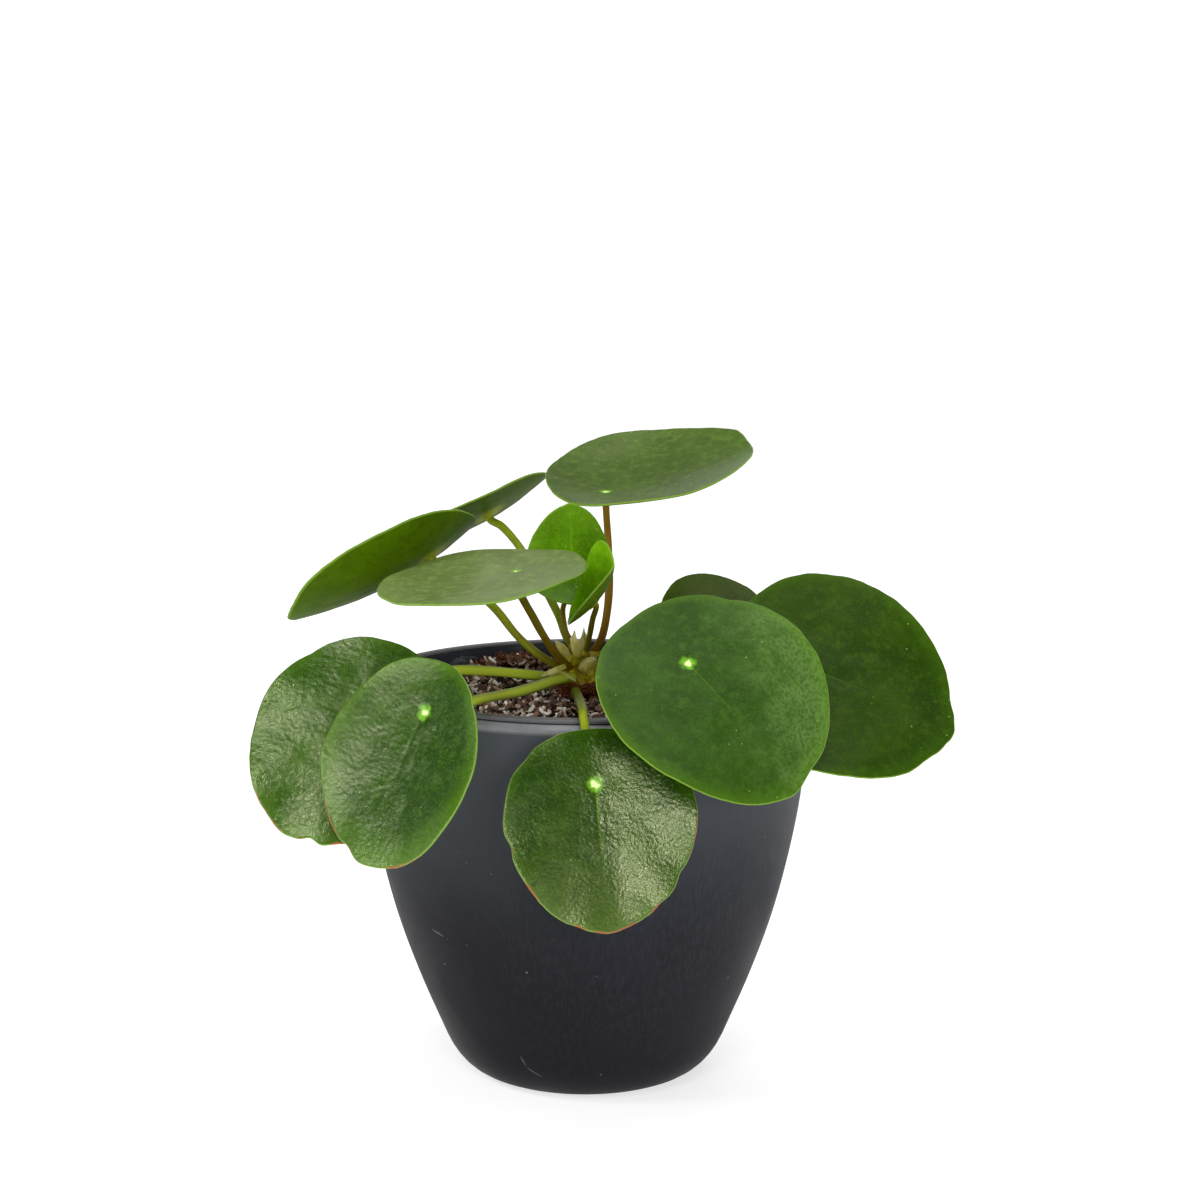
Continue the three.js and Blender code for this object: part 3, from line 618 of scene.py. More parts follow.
def trunk_finish():
    """Olive knob with brown scars, red-brown and fibrous at its foot, with painted highlights on its bumps.
    """
    mix = Finish("trunk")
    at = mix.place()
    height = mix.times(mix.part(at, 2), 1000.0)
    rough = mix.noise(at, 420, 4, 0.6, 0.4)
    patch = mix.noise(at, 160, 3, 0.55)
    mix.base(mix.fade(patch, 0.38, 0.6), (0.62, 0.56, 0.015), (0.36, 0.25, 0.01))
    # painted highlight: a light yellow on the high points of the bumps
    mix.coat(mix.fade(rough, 0.55, 0.72, 0, 0.6), (0.85, 0.8, 0.15))
    foot = mix.fade(mix.plus(height, mix.fade(patch, 0.3, 0.7, -1.2, 1.2)), 134.8, 133.6)
    mix.coat(foot, (0.1, 0.024, 0.006))
    mix.coat(mix.fade(mix.times(rough, foot), 0.45, 0.65, 0, 0.7), (0.24, 0.085, 0.035))
    return mix.done(0.35, mix.bump(rough, 0.5, 0.0006), Specular_IOR_Level=0.2)


def scale_finish():
    """Dry papery skin with fine lengthwise lines."""
    mix = Finish("scale")
    line = mix.attribute("UVMap")
    height = mix.part(line, 1)
    ribs = mix.noise(mix.add("Mapping", {"Vector": line, "Scale": (14, 0.8, 1)}), 3, 3, 0.6)
    mix.base(mix.fade(ribs, 0.35, 0.7), (0.7, 0.62, 0.12), (0.98, 0.9, 0.45))
    mix.coat(mix.fade(mix.noise(mix.place(), 380, 3), 0.5, 0.68, 0, 0.7), (0.55, 0.48, 0.07))
    mix.coat(mix.fade(height, 0.5, 0.0, 0, 0.9), (0.52, 0.47, 0.05))
    mix.coat(mix.fade(height, 0.8, 1.0, 0, 0.6), (1, 0.95, 0.8))
    return mix.done(0.25, mix.bump(ribs, 0.6, 0.0003), Specular_IOR_Level=0.5,
                    Subsurface_Weight=0.3, Subsurface_Radius=(1, 0.9, 0.5), Subsurface_Scale=0.001)


# Looks of the blades. GREEN holds whatever a leaf's own entry leaves out.
#   deep, green      colours of the upper side
#   light            colour of its vein, border and specks
#   under            colour of the lower side
#   rough, gloss     roughness, and strength of the shine
#   mottle, specks   strength of the fine clouds and of the light specks
#   glow, edge       width in millimetres and strength of the light border
#   vein, hub        strength of the middle vein, size of the dot over the stalk
#   crinkle, swell   strength of the fine wrinkles and of the wide ones
#   grain, stretch   scale of the fine wrinkles, and how far they are drawn out across the blade
#   rust, spots      millimetres beyond the hub where the dry margin starts, strength of the dark spots
#   sheen_patch      colour of a paler place of painted sheen, and the direction in which it lies
GREEN = dict(
    deep=(0.015, 0.05, 0.0016), green=(0.029, 0.078, 0.0026), light=(0.09, 0.21, 0.006),
    under=(0.057, 0.114, 0.001), rough=0.32, gloss=0.3, mottle=0.4, specks=0.36, glow=5, edge=0.15,
    vein=0.3, hub=1, crinkle=0.2, swell=0.2, grain=0.9, stretch=1)
LOOKS = {
    # painted sheen: this blade's own green, made paler and greyer
    "top_right": dict(
        deep=(0.05, 0.088, 0.013), green=(0.066, 0.11, 0.019), crinkle=0.24, gloss=0.17, hub=0.9, mottle=0.7),
    "back_left": dict(gloss=0.08),
    "upper_left": dict(gloss=0.1),
    # painted sheen: this blade's own green, made paler and greyer
    "upper_front": dict(
        deep=(0.104, 0.152, 0.036), green=(0.142, 0.198, 0.055), crinkle=0.22, rough=0.42, hub=0.6,
        mottle=0.6),
    "young_upright": dict(
        deep=(0.05, 0.14, 0.0004), green=(0.075, 0.195, 0.0008), light=(0.2, 0.4, 0.01),
        under=(0.13, 0.22, 0.003), crinkle=0.15, gloss=0.12, hub=0.2),
    "young_folded": dict(
        deep=(0.074, 0.215, 0.0004), green=(0.12, 0.315, 0.0008), light=(0.3, 0.55, 0.01),
        under=(0.075, 0.14, 0.003), crinkle=0.15, gloss=0.12, hub=0.2),
    # painted sheen: a paler place on one side of this blade
    "right_front": dict(
        deep=(0.018, 0.05, 0.0045), green=(0.027, 0.07, 0.007), edge=0.3, vein=0.25, rough=0.27, crinkle=0.26,
        gloss=0.08, swell=0.16, specks=0.2, mottle=0.6, sheen_patch=((0.1, 0.185, 0.042), 0.45, 0.8)),
    # painted shade: this blade's greens are darker than its neighbours' for the shade it lies in
    "right_back": dict(
        deep=(0.013, 0.037, 0.0015), green=(0.022, 0.053, 0.002), gloss=0.07, specks=0.14, crinkle=0.18,
        mottle=0.6),
    "small_right": dict(
        deep=(0.035, 0.055, 0.006), green=(0.045, 0.07, 0.01), edge=0.1, crinkle=0.12, gloss=0.08),
    "left_back": dict(rust=30, rough=0.22, crinkle=0.3, swell=0.18, gloss=0.42, stretch=0.65, grain=0.75),
    "left_front": dict(
        deep=(0.011, 0.04, 0.0012), green=(0.023, 0.066, 0.002), rust=30, edge=0.35, glow=9, rough=0.22,
        crinkle=0.3, swell=0.18, gloss=0.36, vein=0.1, stretch=0.65, grain=0.75),
    # painted sheen: a paler place towards the far end of this blade
    "front_hanging": dict(
        deep=(0.01, 0.035, 0.001), green=(0.02, 0.058, 0.001), rust=8, spots=0.7, rough=0.24, crinkle=0.3,
        swell=0.13, gloss=0.56, vein=0.7, sheen_patch=((0.05, 0.09, 0.008), 0.85, -0.1)),
}


# ---- building ----

def deselect():
    bpy.ops.object.select_all(action="DESELECT")


def named(name):
    """The piece that was just added, with its name."""
    piece = bpy.context.active_object
    piece.name = piece.data.name = name
    return piece


def settle(piece, slot, *nodes):
    """Puts a finished piece on the plant, in place of the solids that it stands for."""
    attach(piece, "root")
    if nodes:
        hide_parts(*nodes)
    deselect()


def places(mesh):
    """The places of a mesh's vertices, one row each."""
    values = np.zeros(len(mesh.vertices) * 3)
    mesh.vertices.foreach_get("co", values)
    return values.reshape(-1, 3)


def move(mesh, values):
    mesh.vertices.foreach_set("co", np.asarray(values, float).ravel())
    mesh.update()


def make_sound(piece, open_ends=False):
    """Merges doubles, closes open ends where there are any, and turns all faces outwards."""
    bpy.context.view_layer.objects.active = piece
    bpy.ops.object.mode_set(mode="EDIT")
    bpy.ops.mesh.select_all(action="SELECT")
    bpy.ops.mesh.remove_doubles(threshold=1e-6)
    if open_ends:
        bpy.ops.mesh.select_all(action="DESELECT")
        bpy.ops.mesh.select_non_manifold()
        bpy.ops.mesh.fill_holes(sides=0)
        bpy.ops.mesh.select_all(action="SELECT")
    bpy.ops.mesh.normals_make_consistent(inside=False)
    bpy.ops.object.mode_set(mode="OBJECT")


def draw_up(rings, extrude):
    """Extrudes the selected ring through the others. Each ring is (radius, height)."""
    for (radius, height), (next_radius, next_height) in zip(rings, rings[1:]):
        extrude(TRANSFORM_OT_translate={"value": (0, 0, next_height - height)})
        wider = next_radius / radius
        bpy.ops.transform.resize(value=(wider, wider, 1), center_override=(0, 0, next_height))


def unit(vector):
    vector = np.asarray(vector, float)
    return vector / np.linalg.norm(vector)


def smooth_noise(points, size, seed=0.0):
    """Soft noise from -1 to 1 at each point. Size is the width of its lumps."""
    return np.array([noise.noise(Vector(p) / size + Vector((seed, seed * 1.7, -seed))) for p in points])


def spline(points, steps):
    """Points along a smooth line through the given ones, in equal steps along the line."""
    points = [np.asarray(p, float) for p in points]
    points = [2 * points[0] - points[1], *points, 2 * points[-1] - points[-2]]
    line = []
    for a, b, c, d in zip(points, points[1:], points[2:], points[3:]):
        t0, t1, t2 = (max(np.linalg.norm(q - p) ** 0.5, 1e-4) for p, q in ((a, b), (b, c), (c, d)))
        start = ((b - a) / t0 - (c - a) / (t0 + t1) + (c - b) / t1) * t1
        end = ((c - b) / t1 - (d - b) / (t1 + t2) + (d - c) / t2) * t1
        for t in np.linspace(0, 1, 24, endpoint=False):
            line.append(b + start * t + (-3 * b + 3 * c - 2 * start - end) * t**2
                        + (2 * b - 2 * c + start + end) * t**3)
    line.append(points[-2])
    line = np.array(line)
    run = np.concatenate([[0], np.cumsum(np.linalg.norm(np.diff(line, axis=0), axis=1))])
    at = np.linspace(0, run[-1], steps)
    return np.stack([np.interp(at, run, line[:, k]) for k in range(line.shape[1])], 1), run[-1]


# ---- pot ----

def pot_rings():
    """The pot's outline as (radius, height), from the edge of the foot over the lip to the floor inside."""
    t = np.linspace(0, 1, 9)[:-1, None]
    p = [np.array(point, float) for point in POT["foot"]]
    foot = (1 - t) ** 3 * p[0] + 3 * (1 - t) ** 2 * t * p[1] + 3 * (1 - t) * t**2 * p[2] + t**3 * p[3]
    wall, _ = spline(POT["wall"], 30)
    return [tuple(r) for r in (*foot, *wall)] + POT["rounding"] + POT["lip"] + POT["inside"]


def add_pot():
    """One ring is drawn up along the outline; then the floor and the foot are closed."""
    pot = settings("pot")
    grow = pot.height / (POT["height"] * MM)
    rings = [(r * MM, z * MM * grow) for r, z in pot_rings()]
    deselect()
    bpy.ops.mesh.primitive_circle_add(vertices=pot.sides, radius=rings[0][0], location=(0, 0, rings[0][1]))
    piece = named("pot_body")
    bpy.ops.object.mode_set(mode="EDIT")
    bpy.ops.mesh.select_mode(type="EDGE")
    bpy.ops.mesh.select_all(action="SELECT")
    draw_up(rings, bpy.ops.mesh.extrude_region_move)
    bpy.ops.mesh.edge_face_add()
    bpy.ops.mesh.select_all(action="DESELECT")
    bpy.ops.mesh.select_non_manifold()
    bpy.ops.mesh.edge_face_add()
    bpy.ops.object.mode_set(mode="OBJECT")
    make_sound(piece)
    for finish in (wall_finish, lip_finish, inside_finish):
        piece.data.materials.append(finish())
    lip, inside = 1, 2
    for face in piece.data.polygons:
        inward = face.normal.xy.dot(face.center.xy) < -1e-6
        if inward and face.center.z < POT["mouth"] * MM:
            face.material_index = inside
        elif face.center.z > POT["bevel"] * MM:
            face.material_index = lip
    bpy.ops.object.shade_smooth_by_angle(angle=math.radians(28))
    settle(piece, "pot", "pot")


# ---- potting mix ----

def ground(x, y):
    """Height of the loose surface at a place, in metres: lumpy, with a low heap under the fibre clump."""
    lump = noise.noise(Vector((x, y, 0.3)) * 60) * 0.0012 + noise.noise(Vector((x, y, 1.7)) * 170) * 0.0007
    away = math.hypot(*((value / MM - middle) / width
                        for value, middle, width in zip((x, y), HEAP["place"], HEAP["width"])))
    return (SOIL["surface"] + HEAP["height"] * math.exp(-away**2)) * MM + lump


def add_ground():
    """A ball is flattened into the filling: its upper half is the surface, the rest a flat underside."""
    deselect()
    bpy.ops.mesh.primitive_uv_sphere_add(segments=144, ring_count=96, radius=1)
    piece = named("potting_ground")
    low = (SOIL["surface"] - SOIL["depth"]) * MM
    shaped = []
    for x, y, z in places(piece.data):
        reach = math.acos(min(abs(z), 1)) / (math.pi / 2)
        r = SOIL["radius"] * MM * min(reach / 0.98, 1)
        angle = math.atan2(y, x)
        px, py = r * math.cos(angle), r * math.sin(angle)
        shaped.append((px, py, ground(px, py) - SOIL["sink"] * MM if z > 0.01 else low))
    move(piece.data, shaped)
    piece.data.attributes.new("tone", "FLOAT", "POINT")
    mix = settings("mix")
    piece.data.materials.append(mix_finish("mix_ground", shade(mix.bark, 0.5), mix.bark))
    bpy.ops.object.shade_smooth()
    settle(piece, "potting_mix", "potting_mix")


def bit_shape(kind):
    """Vertices and faces of one loose bit about one unit long, modelled and then taken off the scene."""
    size, cuts = BIT_SHAPES[kind]
    deselect()
    if kind == "grain":
        bpy.ops.mesh.primitive_ico_sphere_add(subdivisions=1, radius=0.5)
    elif kind == "fibre":
        bpy.ops.mesh.primitive_cylinder_add(
            vertices=5, radius=0.03, depth=1, end_fill_type="TRIFAN", rotation=(0, math.pi / 2, 0))
        bpy.ops.object.transform_apply(location=False, rotation=True, scale=False)
    else:
        bpy.ops.mesh.primitive_cube_add(size=1)
    piece = named("bit")
    bpy.ops.object.mode_set(mode="EDIT")
    bpy.ops.mesh.select_all(action="SELECT")
    bpy.ops.transform.resize(value=size)
    for x in cuts:
        bpy.ops.mesh.select_all(action="SELECT")
        bpy.ops.mesh.bisect(plane_co=(x, 0, 0), plane_no=(1, 0, 0))
    if kind in ("flake", "chip"):
        bpy.ops.mesh.select_all(action="SELECT")
        bpy.ops.transform.vertex_random(offset=0.07, uniform=0.0, normal=0.0, seed=4)
    bpy.ops.object.mode_set(mode="OBJECT")
    corners = places(piece.data)
    faces = [tuple(face.vertices) for face in piece.data.polygons]
    bpy.data.objects.remove(piece)
    return corners, faces


def strew(name, shape, spots, finish, slot="potting_mix"):
    """One piece made of many copies of a bit. A spot is (place, turn, size on each axis, tone, bow)."""
    corners, faces = shape
    where, index, tones = [], [], []
    for k, (place, turn, size, tone, bow) in enumerate(spots):
        bit = corners * size
        bit[:, 2] += bow * size[0] * corners[:, 0] ** 2
        where.append(bit @ np.array(turn).T + place)
        index += [tuple(v + k * len(corners) for v in face) for face in faces]
        tones += [tone] * len(corners)
    mesh = bpy.data.meshes.new(name)
    mesh.from_pydata(np.concatenate(where).tolist(), [], index)
    mesh.attributes.new("tone", "FLOAT", "POINT").data.foreach_set("value", tones)
    mesh.materials.append(finish)
    piece = bpy.data.objects.new(name, mesh)
    bpy.context.collection.objects.link(piece)
    settle(piece, slot)


def turned(draw, lean):
    """A turn round the upright with some lean."""
    turn = Matrix.Rotation(draw.uniform(0, math.tau), 3, "Z")
    return turn @ Matrix.Rotation(draw.gauss(0, lean), 3, "X") @ Matrix.Rotation(draw.gauss(0, lean), 3, "Y")


def spot_on_ground(draw):
    """A free place on the surface, outside the trunk."""
    near, far = SOIL["bits_from"] * MM, SOIL["bits_to"] * MM
    while True:
        x, y = draw.uniform(-far, far), draw.uniform(-far, far)
        if near < math.hypot(x, y) < far:
            return x, y


def loose_bits(draw, number, bits):
    """Spots for loose bits all over the surface, drawn by an entry of BITS."""
    spots = []
    for _ in range(number):
        x, y = spot_on_ground(draw)
        size = draw.uniform(*bits["size"]) * MM
        place = (x, y, ground(x, y) + draw.uniform(*bits["rise"]) * MM)
        turn = turned(draw, bits["lean"])
        size = size * np.array((1, draw.uniform(*bits["wide"]), draw.uniform(*bits["high"])))
        spots.append((place, turn, size, draw.random(), draw.uniform(*bits["bow"])))
    return spots


def fibre_spot(draw, kind, place):
    """A spot for one fibre. It lies on the loose surface where its place has no height."""
    size, thick = (draw.uniform(*kind[key]) * MM for key in ("size", "thick"))
    if len(place) == 2:
        place = (*place, ground(*place) + draw.uniform(*kind["rise"]) * MM)
    return (place, turned(draw, kind["lean"]), np.array((size, thick, thick)), draw.random(),
            draw.uniform(*kind["bow"]))


def add_bits():
    """Bark chips, curled flakes, pale bits, a clump of fibre and hairs at the trunk, strewn with one seed."""
    mix = settings("mix")
    draw = random.Random(SOIL["seed"])
    brown = [c * part for c, part in zip(mix.bark, FLAKE_BROWN)]
    finishes = {
        "bark_chips": mix_finish("bark", shade(mix.bark, 0.6), mix.bark),
        "bark_flakes": mix_finish("bark_flake", mix.bark, brown, 0.7),
        "pale_slivers": mix_finish("pale_sliver", brown, mix.pale, 0.5),
        "pale_grains": mix_finish("pale_grain", shade(mix.pale, 0.6), mix.pale, 0.5),
    }
    for name, bits in BITS.items():
        spots = loose_bits(draw, getattr(mix, bits["count"]), bits)
        strew(name, bit_shape(bits["shape"]), spots, finishes[name])

    clump, hairs = [], []
    for _ in range(mix.fibres):
        place = [draw.gauss(middle, spread) * MM for middle, spread in CLUMP["place"]]
        if math.hypot(*place) <= CLUMP["reach"] * MM:
            clump.append(fibre_spot(draw, CLUMP, place))
    for _ in range(mix.fibres // 2):
        place = [draw.uniform(*side) * MM for side in HAIRS["place"]]
        hairs.append(fibre_spot(draw, HAIRS, place))
    fibrous = mix_finish("fibre", shade(mix.fibre, 0.3), shade(mix.fibre, 1.6))
    strew("fibre_clump", bit_shape("fibre"), clump, fibrous)
    strew("trunk_hairs", bit_shape("fibre"), hairs, fibrous, "trunk")


# ---- stalks ----

# Colours of each stalk at the trunk and at the blade, by their names in the settings.
STALK_COLORS = {
    "top_right": ("brown", "brown"), "back_left": ("light", "light"), "upper_left": ("olive", "light"),
    "upper_front": ("brown", "olive"), "young_upright": ("olive", "olive"),
    "young_folded": ("olive", "olive"), "right_front": ("olive", "light"), "right_back": ("olive", "light"),
    # painted light: the two long low stalks take the lighter yellow-green
    "small_right": ("olive", "olive"), "left_back": ("brightened", "brightened"), "left_front": ("brightened", "brightened"),
    "front_hanging": ("light", "light"),
}


def stalk_line(leaf):
    """The stalk's middle line from inside the trunk to the blade's under side, and its length."""
    up = unit(leaf["face"])
    hub = np.array(leaf["hub"], float)
    half = leaf.get("thickness", BLADE_THICKNESS) / 2
    bend = hub - up * leaf.get("elbow", ELBOW)
    return spline([*leaf["route"], bend, hub - up * half * 0.6], STALK_STEPS)


def roll_up(piece, line, radius_at):
    """Rolls a flat grid round a line. The grid's first direction runs along the line."""
    flat = places(piece.data)
    run = (flat[:, 0] + 0.5).clip(0, 1)
    turn = (flat[:, 1] + 0.5) * math.tau
    steps = len(line) - 1
    along = np.gradient(line, axis=0)
    along /= np.linalg.norm(along, axis=1)[:, None]
    across = np.zeros_like(along)
    side = np.cross((0, 0, 1), along[0])
    side = unit(side) if np.linalg.norm(side) > 0.2 else np.array((1.0, 0, 0))
    for k, direction in enumerate(along):
        side = unit(side - direction * direction.dot(side))
        across[k] = side
    other = np.cross(along, across)
    k = np.round(run * steps).astype(int)
    radius = radius_at(run, turn)[:, None]
    move(piece.data, (line[k] + across[k] * np.cos(turn)[:, None] * radius
                      + other[k] * np.sin(turn)[:, None] * radius) * MM)


def tube(name, line, sides, radius_at):
    """A closed round tube along a line in millimetres."""
    deselect()
    bpy.ops.mesh.primitive_grid_add(x_subdivisions=len(line) - 1, y_subdivisions=sides, size=1)
    piece = named(name)
    roll_up(piece, line, radius_at)
    make_sound(piece, open_ends=True)
    bpy.ops.object.shade_smooth()
    return piece


def add_stalk(name):
    leaf = LEAVES[name]
    line, reach = stalk_line(leaf)
    thick, thin = leaf["stalk"]
    seed = len(name) + leaf["hub"][0]

    def radius_at(run, turn):
        plain = (thick + (thin - thick) * run) / 2
        flare = 1 + 0.22 * np.exp(-run * reach / 3) + 0.3 * np.exp(-(1 - run) * reach / 1.6)
        ridges = 1 + 0.018 * np.cos(3 * turn + seed) + 0.012 * np.cos(5 * turn + 6 * run)
        swell = 1 + 0.03 * np.sin(run * 9 + seed) + 0.02 * np.sin(run * 23 + seed)
        return plain * flare * ridges * swell

    stalks = settings("stalks")
    piece = tube("leafstalk_" + name, line, stalks.sides, radius_at)
    foot, top = (getattr(stalks, color) for color in STALK_COLORS[name])
    piece.data.materials.append(stalk_finish("stalk_" + name + "_skin", foot, top))
    settle(piece, "stalk", "stalk_" + name)


# ---- trunk ----

def add_trunk():
    """Stem, knobs and the foot of each stalk are grown into one skin, smoothed and then roughened."""
    steps = TRUNK["steps"]
    line, _ = spline(TRUNK["line"], steps)
    radii, _ = spline([(radius, k) for k, radius in enumerate(TRUNK["radii"])], steps)
    parts = [tube("trunk_body", line, 24,
                  lambda run, turn: np.interp(run, np.linspace(0, 1, steps), radii[:, 0]))]
    for leaf in LEAVES.values():
        stalk, reach = stalk_line(leaf)
        keep = max(4, int(STALK_STEPS * TRUNK["collar"] / reach))
        thick = leaf["stalk"][0] / 2
        parts.append(tube("foot", stalk[:keep], 16, lambda run, turn, t=thick: t * (1.42 - 0.4 * run**0.7)))
    for place, radius in TRUNK["knobs"]:
        deselect()
        bpy.ops.mesh.primitive_uv_sphere_add(
            segments=20, ring_count=12, radius=radius * MM, location=Vector(place) * MM)
        bpy.ops.object.transform_apply(location=True, rotation=False, scale=False)
        parts.append(named("knob"))
    deselect()
    for part in parts:
        part.select_set(True)
    piece = bpy.context.view_layer.objects.active = parts[0]
    bpy.ops.object.join()
    grown = piece.modifiers.new("one_skin", "REMESH")
    grown.mode, grown.voxel_size = "VOXEL", TRUNK["cell"] * MM
    soft = piece.modifiers.new("soft", "SMOOTH")
    soft.factor, soft.iterations = 0.5, 5
    for modifier in ("one_skin", "soft"):
        bpy.ops.object.modifier_apply(modifier=modifier)
    skin = places(piece.data)
    normals = np.zeros(len(skin) * 3)
    piece.data.vertices.foreach_get("normal", normals)
    rough = smooth_noise(skin / MM, 2.2) * 0.22 + smooth_noise(skin / MM, 0.9, 5) * 0.1
    move(piece.data, skin + normals.reshape(-1, 3) * rough[:, None] * MM)
    bpy.ops.object.shade_smooth()
    piece.data.materials.clear()
    piece.data.materials.append(trunk_finish())
    settle(piece, "trunk", "trunk")


# ---- scales ----

def add_scale(name):
    """A thin curled skin that ends in one tip or two, with a torn margin."""
    entry = SCALES[name]
    foot, point = (np.array(entry[key], float) for key in ("foot", "point"))
    along = point - foot
    reach = np.linalg.norm(along)
    up = np.array(entry["face"], float)
    up = unit(up - along * up.dot(along) / reach**2)
    side = np.cross(unit(along), up)
    deselect()
    bpy.ops.mesh.primitive_grid_add(x_subdivisions=20, y_subdivisions=26, size=1)
    piece = named("papery_" + name)
    flat = places(piece.data)
    x, y = flat[:, 0] * 2, flat[:, 1] + 0.5
    torn = smooth_noise(np.stack([x * 2, y * 5, y * 0], 1), 1, reach) * 0.16
    half = entry["width"] / 2
    if entry.get("tips") == 2:
        wide = x * half * (0.55 + 0.5 * np.sin(y * 2.2)) * (1 + torn * np.abs(x))
        tall = y * (1 - 0.42 * np.abs(np.cos(x * math.pi / 1.15)) * y**2 + torn * y)
    else:
        wide = x * half * np.sqrt(np.clip(1 - y**2.4, 0, 1)) * (0.7 + 0.35 * np.sin(y * math.pi)) * (1 + torn)
        tall = y * (1 + 0.3 * torn * (1 - np.abs(x)))
    lift = entry["curl"] * (-0.5 * (wide / half) ** 2 * half + 0.7 * y**2 - 0.2)
    lift += smooth_noise(np.stack([x, y * 3, x * 0], 1), 1, reach + 3) * 0.3
    body = np.outer(tall * reach, unit(along)) + np.outer(wide, side) + np.outer(lift, up)
    move(piece.data, (foot + body) * MM)
    skin = piece.modifiers.new("skin", "SOLIDIFY")
    skin.thickness, skin.offset = SCALE_THICKNESS * MM, 0
    bpy.ops.object.modifier_apply(modifier="skin")
    make_sound(piece)
    bpy.ops.object.shade_smooth()
    piece.data.materials.append(scale_finish())
    settle(piece, "scale", *([name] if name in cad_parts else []))


# ---- blades ----

def margin_scale(leaf, angle):
    """How far the margin stands out at each angle, with its point, nicks and small unevenness."""
    degrees = np.degrees(angle) % 360

    def bump(centre, height, width):
        apart = np.abs((degrees - centre + 540) % 360 - 180)
        return height * np.exp(-((apart / width) ** 2))

    offset = bump(0, leaf["point"], 9)
    for centre, depth, width in leaf["nicks"]:
        offset = offset - bump(centre, depth, width)
    ring = np.stack([np.cos(angle) * 4, np.sin(angle) * 4, angle * 0 + leaf["hub"][0]], 1)
    small = leaf["length"] / 70
    offset = offset + (smooth_noise(ring, 1) * 0.35 + smooth_noise(ring * 3, 1) * 0.16) * small
    return 1 + 2 * offset / leaf["length"]


def blade_sheet(leaf):
    """Gives the blade's curved middle sheet as a function of the place along and across it."""
    bend_long, bend_wide = leaf["bend"]
    rise = math.radians(leaf.get("fold", 0))
    soft = leaf.get("crease", 1.5)

    def sheet(u, v):
        crease = np.hypot(v, soft) - soft
        sag = (bend_long * u * u + bend_wide * v * v) / leaf["length"]
        return np.stack([u, v * math.cos(rise), crease * math.sin(rise) - sag], 1)

    return sheet


def blade_body(leaf, ball):
    """A flat blade on its curved sheet, made from the places of a ball round 0, in millimetres.

    Gives the places along, across and over the hub, and for each the place on the flat blade and the way to
    the margin.
    """
    angle = np.arctan2(ball[:, 1], ball[:, 0])
    side = np.sign(ball[:, 2]) * (np.abs(ball[:, 2]) > 1e-5)
    t = np.arccos(np.abs(ball[:, 2]).clip(0, 1)) / (math.pi / 2)
    half = leaf.get("thickness", BLADE_THICKNESS) / 2

    # The outline, with an edge that is round and a little over half the blade's thickness wide.
    lip = half * 1.1 / (leaf["length"] / 2)
    on_edge = ((t - EDGE) / (1 - EDGE)).clip(0, 1) * math.pi / 2
    reach = np.where(t < EDGE, t / EDGE * (1 - lip), 1 - lip + lip * np.sin(on_edge))
    out = 1 + (margin_scale(leaf, angle) - 1) * reach**3
    u = reach * leaf["length"] / 2 * (np.cos(angle) * out + 1 - 2 * leaf["back"])
    v = reach * leaf["width"] / 2 * np.sin(angle) * (1 - leaf["egg"] * np.cos(angle)) * out

    # How far each side stands off the sheet. The middle vein and the hub are sunken above and raised below.
    thin = half * (1 - 0.3 * reach**2) * np.cos(on_edge)
    flat = np.stack([u, v, u * 0 + leaf["hub"][0]], 1)
    lumps = (smooth_noise(flat, 9) * 0.32 + smooth_noise(flat, 4.2, 3) * 0.12) * leaf["length"] / 70
    lumps *= np.clip(1.3 - reach, 0, 1) * np.clip(np.hypot(u, v) / 6, 0, 1)
    vein = np.exp(-((v / 0.9) ** 2)) * np.clip(u / 3, 0, 1) * np.exp(-u.clip(0) / 22)
    dent = np.exp(-((u**2 + v**2) / 5.5))
    offset = side * thin + lumps + np.where(side > 0, -0.12 * vein - 0.35 * dent, -0.3 * vein - 0.9 * dent)

    sheet = blade_sheet(leaf)
    normal = np.cross(sheet(u + 0.1, v) - sheet(u - 0.1, v), sheet(u, v + 0.1) - sheet(u, v - 0.1))
    normal /= np.linalg.norm(normal, axis=1)[:, None]
    body = sheet(u, v) + normal * offset[:, None]
    body[:, 2] += leaf["wave"][0] * reach**4 * np.sin(leaf["wave"][1] * angle + leaf["hub"][0])
    return body, np.stack([u, v, (1 - reach) * leaf["length"] / 2], 1)


def add_blade(name):
    """A ball is pressed flat and laid on the leaf's curved sheet, then turned the way the leaf faces."""
    leaf, blades = LEAVES[name], settings("blades")
    deselect()
    bpy.ops.mesh.primitive_uv_sphere_add(segments=blades.sides, ring_count=blades.rings, radius=1)
    piece = named("leaf_" + name)
    centers = np.zeros(len(piece.data.polygons) * 3)
    piece.data.polygons.foreach_get("center", centers)
    under = (centers.reshape(-1, 3)[:, 2] < 0).astype(np.int32)

    body, marks = blade_body(leaf, places(piece.data))
    up = unit(leaf["face"])
    tip = np.array(leaf["tip"], float)
    tip = unit(tip - up * up.dot(tip))
    axes = np.stack([tip, np.cross(up, tip), up])
    move(piece.data, (np.array(leaf["hub"], float) + body @ axes) * MM)
    piece.data.attributes.new("leaf", "FLOAT_VECTOR", "POINT").data.foreach_set("vector", marks.ravel())

    look = {**GREEN, **LOOKS[name]}
    piece.data.materials.append(upper_finish("upper_" + name, look))
    piece.data.materials.append(lower_finish("under_" + name, look))
    piece.data.polygons.foreach_set("material_index", under)
    bpy.ops.object.shade_smooth()
    settle(piece, "young_blade" if name.startswith("young") else "blade", "blade_" + name)


# ---- stage ----

# The floor's edge as (radius, height) in metres. It is flat inside the first ring.
FLOOR_RINGS = [(2.6, 0), (3.4, 0.03), (3.9, 0.1), (4.3, 0.26), (4.5, 0.5), (4.55, 0.75)]

